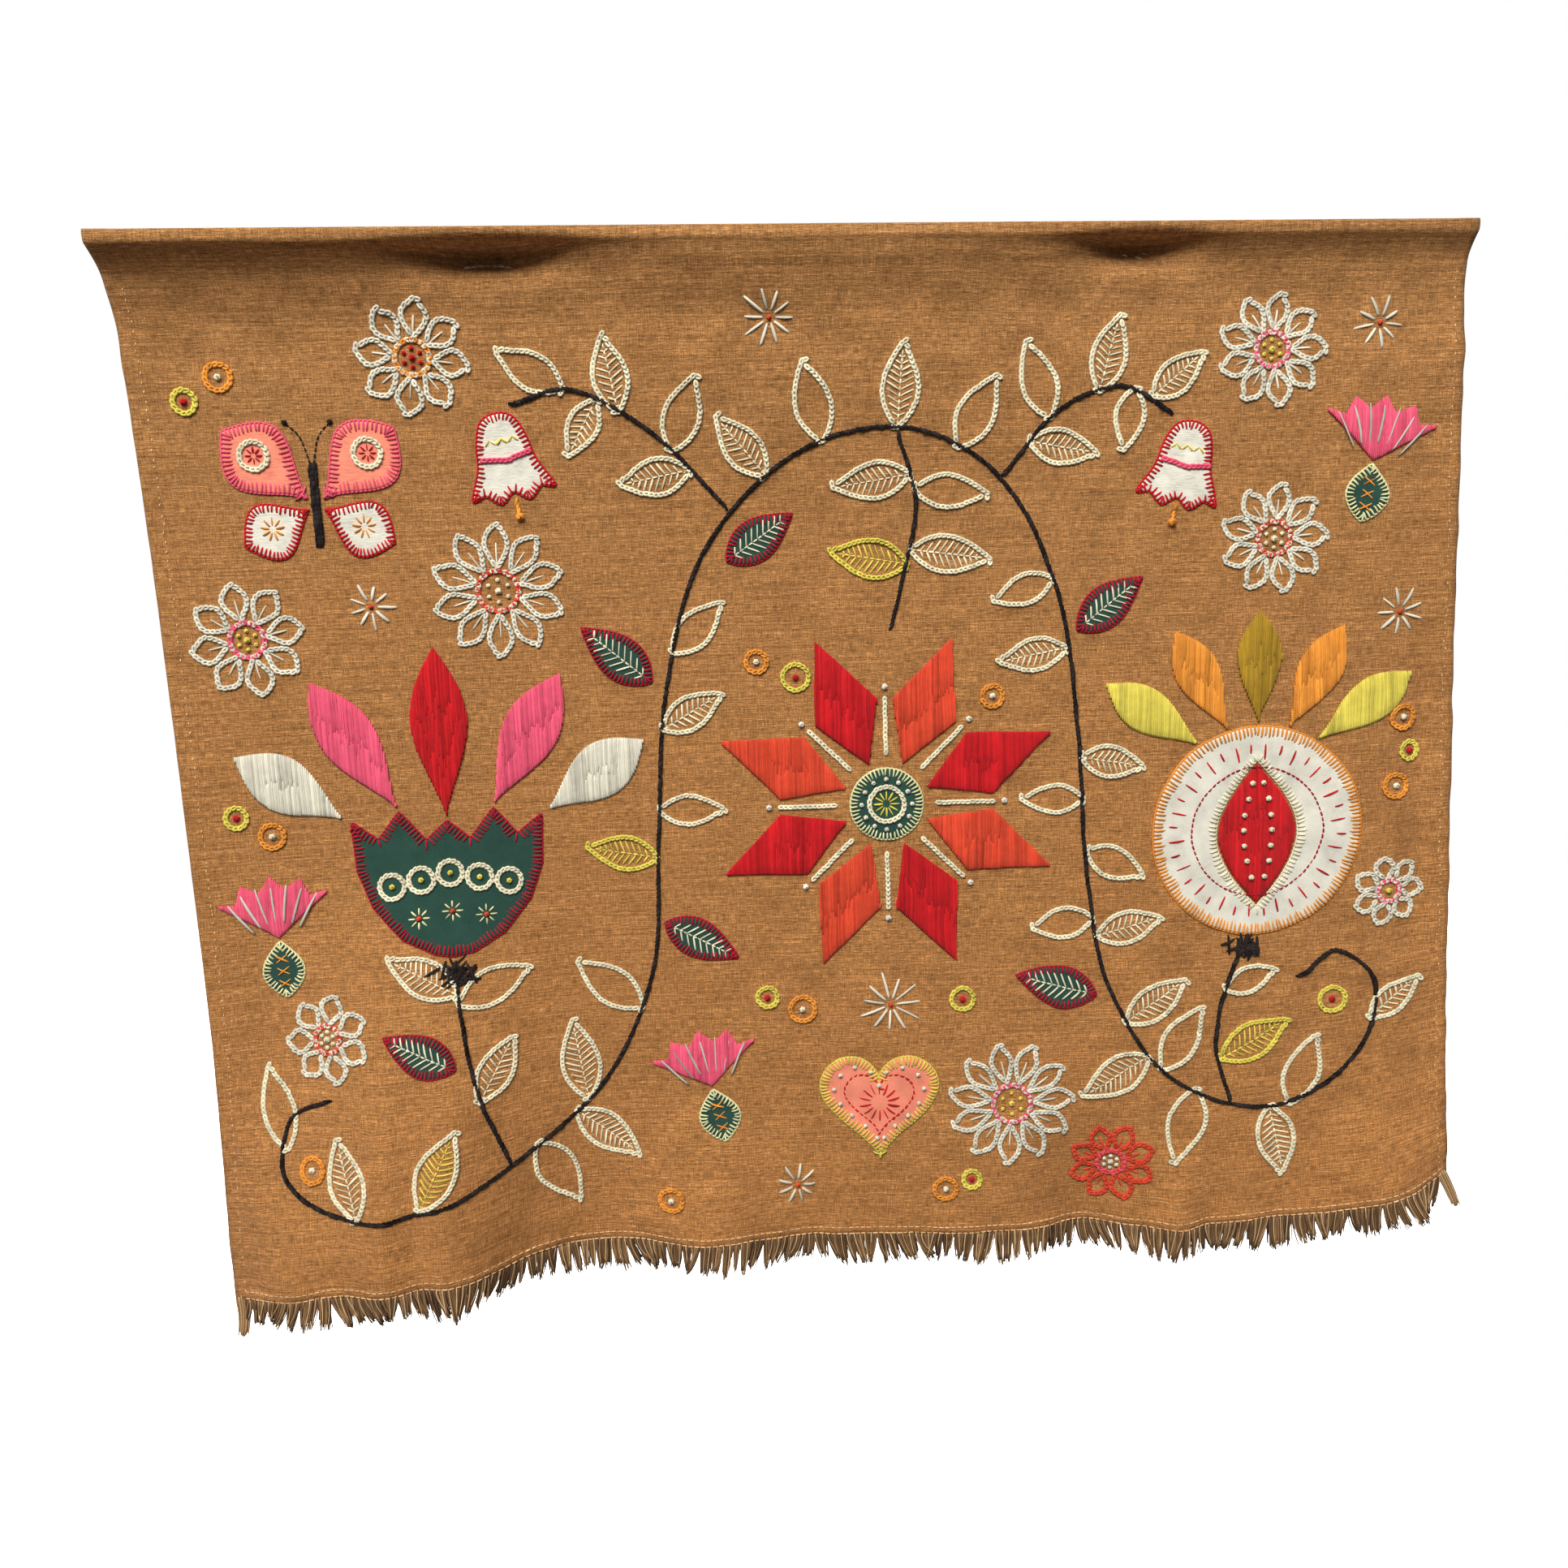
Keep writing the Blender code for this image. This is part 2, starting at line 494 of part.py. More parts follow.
def build_fringe():
    """Fringe: a narrow band just under the cloth's edge, with tapering locks drawn out of its underside."""
    chance = random.Random(FRINGE_SEED)
    drop = Vector((0.0, 0.0, -GAP))
    fall = Vector((0.0, 0.0, -FRINGE_BAND))
    points, faces = [], []

    def put(point):
        points.append(tuple(point))
        return len(points) - 1

    def quad(a, b, c, d):
        faces.extend([(a, b, c), (a, c, d)])

    def lock(front, back, u):
        """A four-sided lock from its root to a knee and a point; the root runs front left, front right."""
        corners = [Vector(points[k]) for k in (*front, *reversed(back))]
        middle = sum(corners, Vector()) / 4
        reach = FRINGE_LENGTH * chance.uniform(*LOCK_LENGTHS) - FRINGE_BAND
        lean = Vector((lock_sway(u), -LOCK_WAVE["size"] * math.sin(LOCK_WAVE["rate"] * u), -reach))
        knee = middle + Vector((lean.x * 0.35, lean.y * 0.3, lean.z * LOCK_KNEE))
        ring = [put(knee + (corner - middle) * LOCK_KNEE_SHARE) for corner in corners]
        tip = put(middle + lean)
        root = [*front, *reversed(back)]
        for k in range(4):
            n = (k + 1) % 4
            quad(root[n], root[k], ring[k], ring[n])
            faces.append((ring[n], ring[k], tip))

    last = len(ROWS) - 1
    front_top = [put(Vector(FRONT[i, last]) + drop) for i in range(len(COLUMNS))]
    back_top = [put(Vector(BACK[i, last]) + drop) for i in range(len(COLUMNS))]
    front_low = [put(Vector(points[k]) + fall) for k in front_top]
    back_low = [put(Vector(points[k]) + fall) for k in back_top]
    for i in range(len(COLUMNS) - 1):
        width = COLUMNS[i + 1] - COLUMNS[i]
        if i in (0, len(COLUMNS) - 2):
            cuts = [TAIL_START, TAIL_START + TAIL_WIDTH / width]
        else:
            count = max(1, round(width / LOCK_PITCH))
            cuts = [(k + s) / count for k in range(count) for s in (0.5 - LOCK_SHARE / 2, 0.5 + LOCK_SHARE / 2)]
        front, back = [front_low[i]], [back_low[i]]
        for cut in cuts:
            front.append(put(Vector(points[front_low[i]]).lerp(Vector(points[front_low[i + 1]]), cut)))
            back.append(put(Vector(points[back_low[i]]).lerp(Vector(points[back_low[i + 1]]), cut)))
        front.append(front_low[i + 1])
        back.append(back_low[i + 1])
        quad(front_top[i], front_top[i + 1], back_top[i + 1], back_top[i])
        middle = len(front) // 2
        for row, top, turn in ((front, front_top, False), (back, back_top, True)):
            fan = [(top[i], row[k], row[k + 1]) for k in range(middle)]
            fan += [(top[i + 1], row[k], row[k + 1]) for k in range(middle, len(row) - 1)]
            fan.append((top[i], row[middle], top[i + 1]))
            faces.extend([tuple(reversed(face)) if turn else face for face in fan])
        for k in range(len(front) - 1):
            if k % 2:
                lock(front[k:k + 2], back[k:k + 2], COLUMNS[i] + width * (cuts[k - 1] + cuts[k]) / 2)
            else:
                quad(front[k], back[k], back[k + 1], front[k + 1])
    quad(front_low[0], front_top[0], back_top[0], back_low[0])
    quad(front_top[-1], front_low[-1], back_low[-1], back_top[-1])
    return add_object("fringe", points, faces, "fringe")


def main():
    for thing in list(bpy.data.objects):
        bpy.data.objects.remove(thing, do_unlink=True)
    build_ground()
    build_fringe()
    build_stems()
    build_tulip()
    build_star()
    build_fruit()
    build_small_motifs()


main()
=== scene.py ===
"""Looks of the embroidered wall hanging: cloth, felt, wool stitching, fringe, light and camera.

Flat places on the cloth are (u, v): u across and v down from the top edge, in metres, as in the solid model.
The photograph's frame is taken as 1932 by 1932 pixels.
"""
import json
import math

import bpy
import numpy as np
from mathutils import Matrix, Vector
from mathutils.geometry import delaunay_2d_cdt


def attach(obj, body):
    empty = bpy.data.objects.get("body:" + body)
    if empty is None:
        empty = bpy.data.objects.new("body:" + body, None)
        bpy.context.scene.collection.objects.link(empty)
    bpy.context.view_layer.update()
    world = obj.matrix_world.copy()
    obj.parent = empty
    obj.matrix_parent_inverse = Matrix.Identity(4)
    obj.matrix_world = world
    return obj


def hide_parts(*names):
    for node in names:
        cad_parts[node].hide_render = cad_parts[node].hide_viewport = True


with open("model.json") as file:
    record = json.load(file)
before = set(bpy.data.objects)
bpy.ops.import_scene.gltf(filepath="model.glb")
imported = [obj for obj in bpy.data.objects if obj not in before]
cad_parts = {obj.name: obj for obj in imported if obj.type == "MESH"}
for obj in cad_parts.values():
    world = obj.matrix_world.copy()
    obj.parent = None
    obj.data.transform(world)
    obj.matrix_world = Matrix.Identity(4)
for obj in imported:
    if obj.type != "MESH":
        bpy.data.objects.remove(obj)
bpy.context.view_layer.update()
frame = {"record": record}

# The cloth's form, with the same sizes as the solids
WIDTH = 0.92
LENGTH = 0.732
CLOTH_THICK = 0.0016
HEM_WIDTH = 0.013
HEM_THICK = 0.0026
RIM_THICK = 0.0032
RIM_FACE = 0.0075
WALL_CLEARANCE = 0.0016
RIM_STAND_LEFT = 0.0458
RIM_STAND_RIGHT = 0.0264
RIM_CREASE = 0.0260
RIM_STEEP_SHARE = 0.48
RIM_FALL_END = 0.058
RIM_TAIL_SHARE = 0.29
RIM_TAIL_LENGTH = 0.11
BELLY_DEPTH = 0.012
BELLY_HALF_WIDTH = 0.15
BELLY_RISE = 0.022
BELLY_FADE = (0.05, 0.17)
SWING = {"all": -0.0009, "across": 0.0086, "down": 0.0203, "corner": 0.0358}
SWING_START = 0.10
LEFT_CORNER_DROP = 0.0282
RIGHT_CORNER_LIFT = 0.0467
TACKS = (
    {"across": -0.217, "down": 0.0115, "half_width": 0.045, "up": 0.0042, "down_reach": 0.015},
    {"across": 0.224, "down": 0.0115, "half_width": 0.034, "up": 0.0042, "down_reach": 0.014},
)
# Folds at the foot: place across, half width, reach up, depth
FOLDS = (
    (-0.414, 0.045, 0.20, 0.0298),
    (-0.311, 0.075, 0.34, 0.0688),
    (-0.310, 0.018, 0.26, -0.0141),
    (-0.098, 0.048, 0.12, 0.0197),
    (0.097, 0.119, 0.30, 0.0036),
    (0.191, 0.035, 0.12, -0.0152),
    (0.260, 0.016, 0.07, 0.0096),
    (0.323, 0.047, 0.16, 0.0025),
    (0.412, 0.040, 0.10, 0.0161),
)

# Creases and soft troughs (minus) that the solids leave out: from u, v, to u, v, half width, depth
CREASES = (
    (0.291, 0.505, 0.372, 0.540, 0.0035, 0.0014),
    (0.372, 0.540, 0.457, 0.545, 0.0035, 0.0014),
    (0.437, 0.270, 0.437, 0.560, 0.0100, -0.0040),
    (-0.160, 0.690, -0.030, 0.560, 0.0090, 0.0022),
    (0.128, 0.021, 0.196, 0.012, 0.0022, 0.0011),
    (-0.440, 0.080, -0.300, 0.060, 0.0120, -0.0020),
    (-0.100, 0.050, 0.050, 0.075, 0.0140, -0.0018),
    (0.300, 0.060, 0.430, 0.075, 0.0110, -0.0016),
    (-0.455, 0.560, -0.425, 0.700, 0.0090, 0.0018),
)
# Puckers round the stitching: waves per metre across and down, turn, height
RIPPLES = (
    (19.0, 7.0, 0.4, 0.00055),
    (-11.0, 23.0, 1.9, 0.00045),
    (37.0, 31.0, 4.1, 0.00022),
    (53.0, -41.0, 2.7, 0.00014),
)

# Heights of felt, linen and the pads under solid stitching
FELT = 0.0016
LINEN = 0.0011
PAD = 0.0009

COLOURS = {
    "ground_top": (0.370, 0.178, 0.060),
    "ground_foot": (0.445, 0.196, 0.060),
    "black": (0.018, 0.013, 0.012),
    "green": (0.022, 0.062, 0.047),
    "white": (0.66, 0.62, 0.50),
    "felt_white": (0.70, 0.67, 0.57),
    "cream": (0.74, 0.67, 0.47),
    "salmon": (0.83, 0.255, 0.165),
    "red": (0.50, 0.010, 0.014),
    "orange_red": (0.62, 0.060, 0.025),
    "crimson": (0.36, 0.008, 0.022),
    "pink": (0.76, 0.095, 0.17),
    "yellow": (0.66, 0.55, 0.085),
    "lemon": (0.69, 0.67, 0.36),
    "mustard": (0.37, 0.215, 0.018),
    "orange": (0.72, 0.265, 0.036),
    "hem_thread": (0.72, 0.45, 0.22),
    "grey_white": (0.50, 0.48, 0.42),
}


def smooth(x):
    """Ease from 0 to 1 as x goes from 0 to 1."""
    x = np.clip(x, 0.0, 1.0)
    return x * x * (3.0 - 2.0 * x)


def stand_off(u, v):
    """Distance of the cloth's middle layer from the wall, as in the solids."""
    side = u / (WIDTH / 2)
    drop = v / LENGTH
    swing = SWING["all"] + SWING["across"] * side + SWING["down"] * drop + SWING["corner"] * side * drop
    swing = np.maximum(swing, 0.0) * smooth(v / SWING_START)
    rim = RIM_STAND_LEFT + (RIM_STAND_RIGHT - RIM_STAND_LEFT) * (side + 1) / 2
    steep = 1 - (1 - np.clip((v - RIM_FACE) / (RIM_CREASE - RIM_FACE), 0.0, 1.0)) ** 2
    eased = smooth((v - RIM_FACE) / (RIM_FALL_END - RIM_FACE))
    fall = RIM_STEEP_SHARE * steep + (1 - RIM_STEEP_SHARE) * eased
    tail = RIM_TAIL_SHARE * np.exp(-np.maximum(v - RIM_FALL_END, 0.0) / RIM_TAIL_LENGTH)
    depth = swing + rim * (1 - fall + fall * tail)
    belly = smooth(v / BELLY_RISE) * (1 - smooth((v - BELLY_FADE[0]) / BELLY_FADE[1]))
    depth = depth + BELLY_DEPTH * belly * np.exp(-(u / BELLY_HALF_WIDTH) ** 4)
    for across, half_width, reach, deep in FOLDS:
        rise = smooth((v - (LENGTH - reach)) / reach)
        depth = depth + deep * rise * np.exp(-((u - across) / half_width) ** 2)
    for tack in TACKS:
        reach = np.where(v < tack["down"], tack["up"], tack["down_reach"])
        near = ((u - tack["across"]) / tack["half_width"]) ** 2 + ((v - tack["down"]) / reach) ** 2
        depth = depth * (1 - np.exp(-near))
    return depth + WALL_CLEARANCE


def wrinkles(u, v):
    """Creases, soft troughs and puckers, zero at the very edges and where the cloth lies on the wall."""
    rise = np.zeros_like(u)
    for u0, v0, u1, v1, half_width, depth in CREASES:
        size = np.hypot(u1 - u0, v1 - v0)
        x, y = (u1 - u0) / size, (v1 - v0) / size
        t, off = (u - u0) * x + (v - v0) * y, (v - v0) * x - (u - u0) * y
        ends = smooth(t / (0.25 * size) + 0.15) * smooth((size - t) / (0.25 * size) + 0.15)
        rise += depth * ends * np.exp(-(off / half_width) ** 2)
    wander = 1.3 * np.sin(23.0 * u - 17.0 * v)
    for across, down, turn, height in RIPPLES:
        rise += height * np.sin(2 * math.pi * (across * u + down * v) + turn + wander)
    edge = smooth(v / 0.03) * smooth((stand_off(u, v) - 0.004) / 0.012)
    return rise * (0.25 + 0.75 * edge) * smooth(v / 0.02)


def cloth_point(u, v):
    """Points of the cloth's middle layer for arrays of places on the flat cloth."""
    side = u / (WIDTH / 2)
    drop = (v / LENGTH) ** 3
    lift = RIGHT_CORNER_LIFT * np.clip(side, 0, 1) ** 5 - LEFT_CORNER_DROP * np.clip(-side, 0, 1) ** 5
    depth = np.maximum(stand_off(u, v) + wrinkles(u, v), WALL_CLEARANCE * 0.7)
    return np.stack([u, -depth, -v + lift * drop], axis=-1)


def cloth_normal(u, v):
    """Unit normals of the middle layer, on the worked side."""
    step = 0.0008
    across = cloth_point(u + step, v) - cloth_point(u - step, v)
    down = cloth_point(u, v + step) - cloth_point(u, v - step)
    return unit(np.cross(down, across), 0.0)


def cloth_thickness(u, v):
    """The cloth is doubled along its side hems and rolled at the rim."""
    hem = smooth((np.abs(u) - (WIDTH / 2 - HEM_WIDTH) + 0.001) / 0.002)
    rim = np.sqrt(np.clip(1 - np.clip(2 * v / RIM_FACE - 1, -1, 1) ** 2, 0, 1))
    return CLOTH_THICK + (HEM_THICK - CLOTH_THICK) * hem + (RIM_THICK - CLOTH_THICK) * rim


def on_cloth(places, height):
    """World points and normals for flat places (..., 2); heights above the worked face may be one or many."""
    u, v = places[..., 0], places[..., 1]
    normal = cloth_normal(u, v)
    lift = (cloth_thickness(u, v) / 2 + height)[..., None]
    return cloth_point(u, v) + normal * lift, normal


# Meshes

def new_object(name, points, faces, tone=None, flat=None):
    """One smooth mesh object from arrays; tone is a number a point, flat the place on the flat cloth."""
    mesh = bpy.data.meshes.new(name)
    points = np.asarray(points, np.float32).reshape(-1, 3)
    faces = np.asarray(faces, np.int32)
    corners = faces.shape[1]
    mesh.vertices.add(len(points))
    mesh.vertices.foreach_set("co", points.ravel())
    mesh.loops.add(faces.size)
    mesh.loops.foreach_set("vertex_index", faces.ravel())
    mesh.polygons.add(len(faces))
    mesh.polygons.foreach_set("loop_start", np.arange(len(faces), dtype=np.int32) * corners)
    mesh.update(calc_edges=True)
    mesh.validate()
    mesh.polygons.foreach_set("use_smooth", np.ones(len(mesh.polygons), bool))
    tones = np.zeros(len(points), np.float32) if tone is None else np.asarray(tone, np.float32).ravel()
    mesh.attributes.new("tone", "FLOAT", "POINT").data.foreach_set("value", tones)
    if flat is not None:
        spread = np.zeros((len(points), 3), np.float32)
        spread[:, :2] = np.asarray(flat, np.float32).reshape(-1, 2)
        mesh.attributes.new("flat", "FLOAT_VECTOR", "POINT").data.foreach_set("vector", spread.ravel())
    thing = bpy.data.objects.new(name, mesh)
    bpy.context.scene.collection.objects.link(thing)
    return thing


# Yarn and stitches

chance = np.random.default_rng(5627)


def random_tone(count, spread):
    return chance.normal(0.0, spread, count)


def unit(rows, least=1e-12):
    """Rows of vectors brought to a length of 1."""
    return rows / (np.linalg.norm(rows, axis=-1, keepdims=True) + least)


def neighbours(path, closed):
    """The step between the two neighbours of each place on a path."""
    if closed:
        return np.roll(path, -1, axis=-2) - np.roll(path, 1, axis=-2)
    return np.gradient(path, axis=-2)


def leftward(along):
    """Flat directions turned by a quarter."""
    return np.stack([-along[..., 1], along[..., 0]], axis=-1)


def between(start, end, t):
    """Places from each start to its end, at the shares t of the way."""
    return start[:, None] * (1 - t)[:, None] + end[:, None] * t[:, None]


class Yarn:
    """Gathers the strands of one colour and makes them one mesh. A strand is a row of rings with a tone."""

    def __init__(self):
        self.points, self.faces, self.tones, self.count = [], [], [], 0

    def add(self, rings, tone, closed=False):
        """rings is (strands, rings, sides, 3); tone is (strands,) or (strands, rings)."""
        n, k, s = rings.shape[:3]
        tone = np.broadcast_to(np.asarray(tone, float).reshape(n, -1), (n, k))
        index = np.arange(n * k * s).reshape(n, k, s) + self.count
        a = index if closed else index[:, :-1]
        b = np.roll(index, -1, axis=1) if closed else index[:, 1:]
        quads = np.stack([a, b, np.roll(b, -1, axis=2), np.roll(a, -1, axis=2)], axis=-1)
        self.faces.append(quads.reshape(-1, 4))
        if not closed and s == 4:
            self.faces += [index[:, 0].reshape(-1, 4), index[:, -1, ::-1].reshape(-1, 4)]
        self.points.append(rings.reshape(-1, 3))
        self.tones.append(np.repeat(tone.reshape(-1), s))
        self.count += n * k * s

    def make(self, name):
        return new_object(name, *(np.concatenate(part) for part in (self.points, self.faces, self.tones)))


def tubes(path, normal, wide, tall, sides=4, closed=False):
    """Rings round paths (n, k, 3) with half sizes wide and tall, set by the cloth's normals."""
    along = unit(neighbours(path, closed))
    across = unit(np.cross(along, normal))
    up = np.cross(across, along)
    turn = 2 * math.pi * (np.arange(sides) + 0.5) / sides
    wide, tall = (np.asarray(size)[..., None, None] for size in (wide, tall))
    reach = 1 / math.cos(math.pi / sides) if sides == 4 else 1.0
    sideways = across[:, :, None] * (wide * np.cos(turn)[:, None])
    upward = up[:, :, None] * (tall * np.sin(turn)[:, None])
    return path[:, :, None] + (sideways + upward) * reach


STITCH_FOOT = -0.0004
STITCH_JITTER = 0.12
STITCH_END_SHARE = 0.45


def straight(yarn, start, end, width, rise, base=0.0, rings=5, spread=0.16, tone=0.0, foot=STITCH_FOOT,
             blunt=0.5):
    """Straight stitches from start (n, 2) to end (n, 2): each dives into the cloth at both ends."""
    start, end = (np.asarray(places, float).reshape(-1, 2) for places in (start, end))
    t = 0.5 - 0.5 * np.cos(np.pi * np.linspace(0, 1, rings))
    arch = np.sin(np.pi * t) ** blunt
    jitter = 1 + STITCH_JITTER * chance.normal(size=(len(start), 1))
    path, normal = on_cloth(between(start, end, t), base + foot + (rise * 0.6 - foot) * arch * jitter)
    shape = STITCH_END_SHARE + (1 - STITCH_END_SHARE) * arch
    wide = 0.5 * width * shape * jitter
    tall = 0.5 * max(rise, 0.6 * width) * shape * jitter
    yarn.add(tubes(path, normal, wide, tall), tone + random_tone(len(start), spread))


def resample(line, step, closed=False):
    """Places evenly spaced along a line, about a step apart, and the unit directions there."""
    line = np.asarray(line, float)
    if closed:
        line = np.vstack([line, line[:1]])
    run = np.concatenate([[0.0], np.cumsum(np.linalg.norm(np.diff(line, axis=0), axis=1))])
    at = np.linspace(0, run[-1], max(2, int(round(run[-1] / step))) + 1)
    if closed:
        at = at[:-1]
    places = np.stack([np.interp(at, run, line[:, k]) for k in range(2)], axis=1)
    return places, unit(neighbours(places, closed))


CHAIN_PITCH = 0.0034
CHAIN_LENGTH = CHAIN_PITCH * 1.38
CHAIN_WIDTH = 0.0039
CHAIN_RADIUS = 0.00070
CHAIN_POINTS = 8
CHAIN_NARROW = 0.72
CHAIN_SCATTER = 0.00012


def chain(yarn, line, base=0.0, closed=False):
    """Chain stitch along a line: teardrop loops, each starting inside the one before."""
    places, along = resample(line, CHAIN_PITCH, closed)
    if not closed:
        places, along = places[:-1], along[:-1]
    turn = 2 * math.pi * np.arange(CHAIN_POINTS) / CHAIN_POINTS
    x = CHAIN_LENGTH * (0.5 - 0.5 * np.cos(turn))
    share = x / CHAIN_LENGTH
    y = 0.5 * (CHAIN_WIDTH - 2 * CHAIN_RADIUS) * np.sin(turn) * (CHAIN_NARROW + (1 - CHAIN_NARROW) * share)
    loops = places[:, None] + along[:, None] * x[:, None] + leftward(along)[:, None] * y[:, None]
    loops += CHAIN_SCATTER * chance.normal(size=(len(places), 1, 2))
    path, normal = on_cloth(loops, base + CHAIN_RADIUS * (0.35 + share))
    size = CHAIN_RADIUS * (1.0 + 0.15 * np.sin(turn * 0.5))
    yarn.add(tubes(path, normal, size, size * 0.95, closed=True), random_tone(len(places), 0.10), closed=True)


STEM_PITCH = 0.0034
STEM_LENGTH = 0.0066
STEM_SLANT = 0.30
STEM_WIDTH = 0.0021
STEM_RISE = 0.0019


def stem_stitch(yarn, line):
    """A rope of slanting stitches that overlap along a line."""
    places, along = resample(line, STEM_PITCH)
    half, slant = along * STEM_LENGTH / 2, leftward(along) * STEM_LENGTH * STEM_SLANT / 2
    straight(yarn, places - half - slant, places + half + slant, STEM_WIDTH, STEM_RISE, rings=6, spread=0.25)


BACK_STITCH_SPAN = (0.08, 0.94)
BACK_STITCH_RISE = 0.0007


def back_stitch(yarn, line, pitch=0.0042, width=0.0011, base=0.0, closed=False):
    """Stitches end to end along a line with small gaps."""
    places, along = resample(line, pitch, closed)
    if not closed:
        places, along = places[:-1], along[:-1]
    start, end = (places + along * pitch * share for share in BACK_STITCH_SPAN)
    straight(yarn, start, end, width, BACK_STITCH_RISE, base)


def inward(outline):
    """1 if the left-hand side of a closed outline is its inside, else -1."""
    p = np.asarray(outline, float)
    q = np.roll(p, -1, axis=0)
    return 1.0 if np.sum(p[:, 0] * q[:, 1] - q[:, 0] * p[:, 1]) > 0 else -1.0


BLANKET_PITCH = 0.0030
BLANKET_WIDTH = 0.0011
BLANKET_OVER = 0.0007
BLANKET_CORD = 0.0006
# Along a spoke: share of the way, and share of the full width
BLANKET_SPOKE = np.array([(0.0, 0.9), (0.12, 1.0), (0.3, 1.0), (0.7, 0.95), (1.0, 0.6)])
# How far the loops along the edge stand out, by turns
BLANKET_SWAY = (0.0005, 0.00085)


def blanket(yarn, outline, thick, reach=0.0065, hole=False):
    """Blanket stitch round a patch, or round a hole in it: spokes over its edge and a cord along it."""
    places, along = resample(outline, BLANKET_PITCH, closed=True)
    side = -inward(outline) if hole else inward(outline)
    inside = side * leftward(along)
    depth = reach * (1 + 0.18 * chance.uniform(-1, 1, len(places)))[:, None]
    lean = along * 0.0004 * chance.normal(size=(len(places), 1))
    spokes = between(places - inside * BLANKET_OVER, places + inside * depth + lean, BLANKET_SPOKE[:, 0])
    crest = BLANKET_WIDTH * np.array([0.45, 0.4])
    path, normal = on_cloth(spokes, np.array([0.0004, thick + 0.0002, *(thick + crest), thick - 0.0006]))
    size = 0.5 * BLANKET_WIDTH * BLANKET_SPOKE[:, 1]
    yarn.add(tubes(path, normal, size, size), random_tone(len(places), 0.14))
    ring, _ = resample(outline, BLANKET_PITCH / 2, closed=True)
    out = -side * leftward(unit(neighbours(ring, True), 0.0))
    sway = np.resize(BLANKET_SWAY, len(ring))[:, None]
    path, normal = on_cloth((ring + out * sway)[None], BLANKET_CORD * 0.9)
    yarn.add(tubes(path, normal, BLANKET_CORD, BLANKET_CORD, closed=True), 0.0, closed=True)


# A knot's coil: angles, and its radius and height there as shares of the knot's radius
KNOT_POINTS = 13
KNOT_TURNS = [0, 2.2 * math.pi, 4.2 * math.pi]
KNOT_OUT = [0.72, 0.62, 0.10]
KNOT_UP = [0.25, 1.05]
KNOT_YARN = 0.42
SMALL_KNOT = 0.0016
LARGE_KNOT = 0.0022


def knots(yarn, places, radius=SMALL_KNOT, base=0.0):
    """French knots: small coils of yarn standing on the cloth."""
    places = np.asarray(places, float).reshape(-1, 2)
    turn = np.linspace(0, KNOT_TURNS[-1], KNOT_POINTS)
    spin = turn + chance.uniform(0, 2 * math.pi, len(places))[:, None]
    out = radius * np.interp(turn, KNOT_TURNS, KNOT_OUT)
    coil = np.stack([out * np.cos(spin), out * np.sin(spin)], axis=-1)
    height = base + radius * np.interp(turn, KNOT_TURNS[::2], KNOT_UP)
    path, normal = on_cloth(places[:, None] + coil, height)
    size = radius * KNOT_YARN
    yarn.add(tubes(path, normal, size, size), random_tone(len(places), 0.07))


SATIN_PITCH = 0.00130
SATIN_WIDTH = 0.00150
SATIN_RISE = 0.0011
SATIN_LONGEST = 0.040
SATIN_SHORTEST = 0.0022
SATIN_OVER = 0.0005
SATIN_BITE = 0.0012


def runs_down(outline):
    """Runs down through an outline, a pitch apart: place across, start and end."""
    a = np.asarray(outline, float)
    b = np.roll(a, -1, axis=0)
    runs = []
    for x in np.arange(a[:, 0].min() + SATIN_PITCH * 0.5, a[:, 0].max(), SATIN_PITCH):
        hit = (a[:, 0] <= x) != (b[:, 0] <= x)
        t = (x - a[hit, 0]) / (b[hit, 0] - a[hit, 0])
        cuts = sorted(a[hit, 1] + t * (b[hit, 1] - a[hit, 1]))
        runs += [(x, *cut) for cut in zip(cuts[::2], cuts[1::2])]
    return runs


def satin(yarn, outline):
    """Rows of long stitches side by side, split into shorter ones that bite into each other."""
    start, end = [], []
    for k, (x, y0, y1) in enumerate(runs_down(outline)):
        y0, y1 = y0 - SATIN_OVER, y1 + SATIN_OVER
        if y1 - y0 < SATIN_SHORTEST:
            continue
        parts = max(1, math.ceil((y1 - y0) / SATIN_LONGEST))
        cuts = y0 + (y1 - y0) * np.arange(parts + 1) / parts
        cuts[1:-1] += (chance.uniform(-0.22, 0.22, parts - 1) + 0.10 * (k % 2)) * (y1 - y0) / parts
        start += [(x, a - SATIN_BITE * (a > y0)) for a in cuts[:-1]]
        end += [(x, b + SATIN_BITE * (b < y1)) for b in cuts[1:]]
    start, end = np.array(start), np.array(end)
    band = 0.12 * np.sin(start[:, 0] * 330.0 + 2.0 * np.sin(start[:, 0] * 90.0))
    straight(yarn, start, end, SATIN_WIDTH, SATIN_RISE, PAD, 7, 0.13, band, foot=-0.0001, blunt=0.3)


PATCH_STEP = 0.0022
PATCH_CELL = 0.0045
PATCH_ROUND = 0.0009
PATCH_EDGE_SHARE = 0.62
PATCH_UNDER = -0.0003


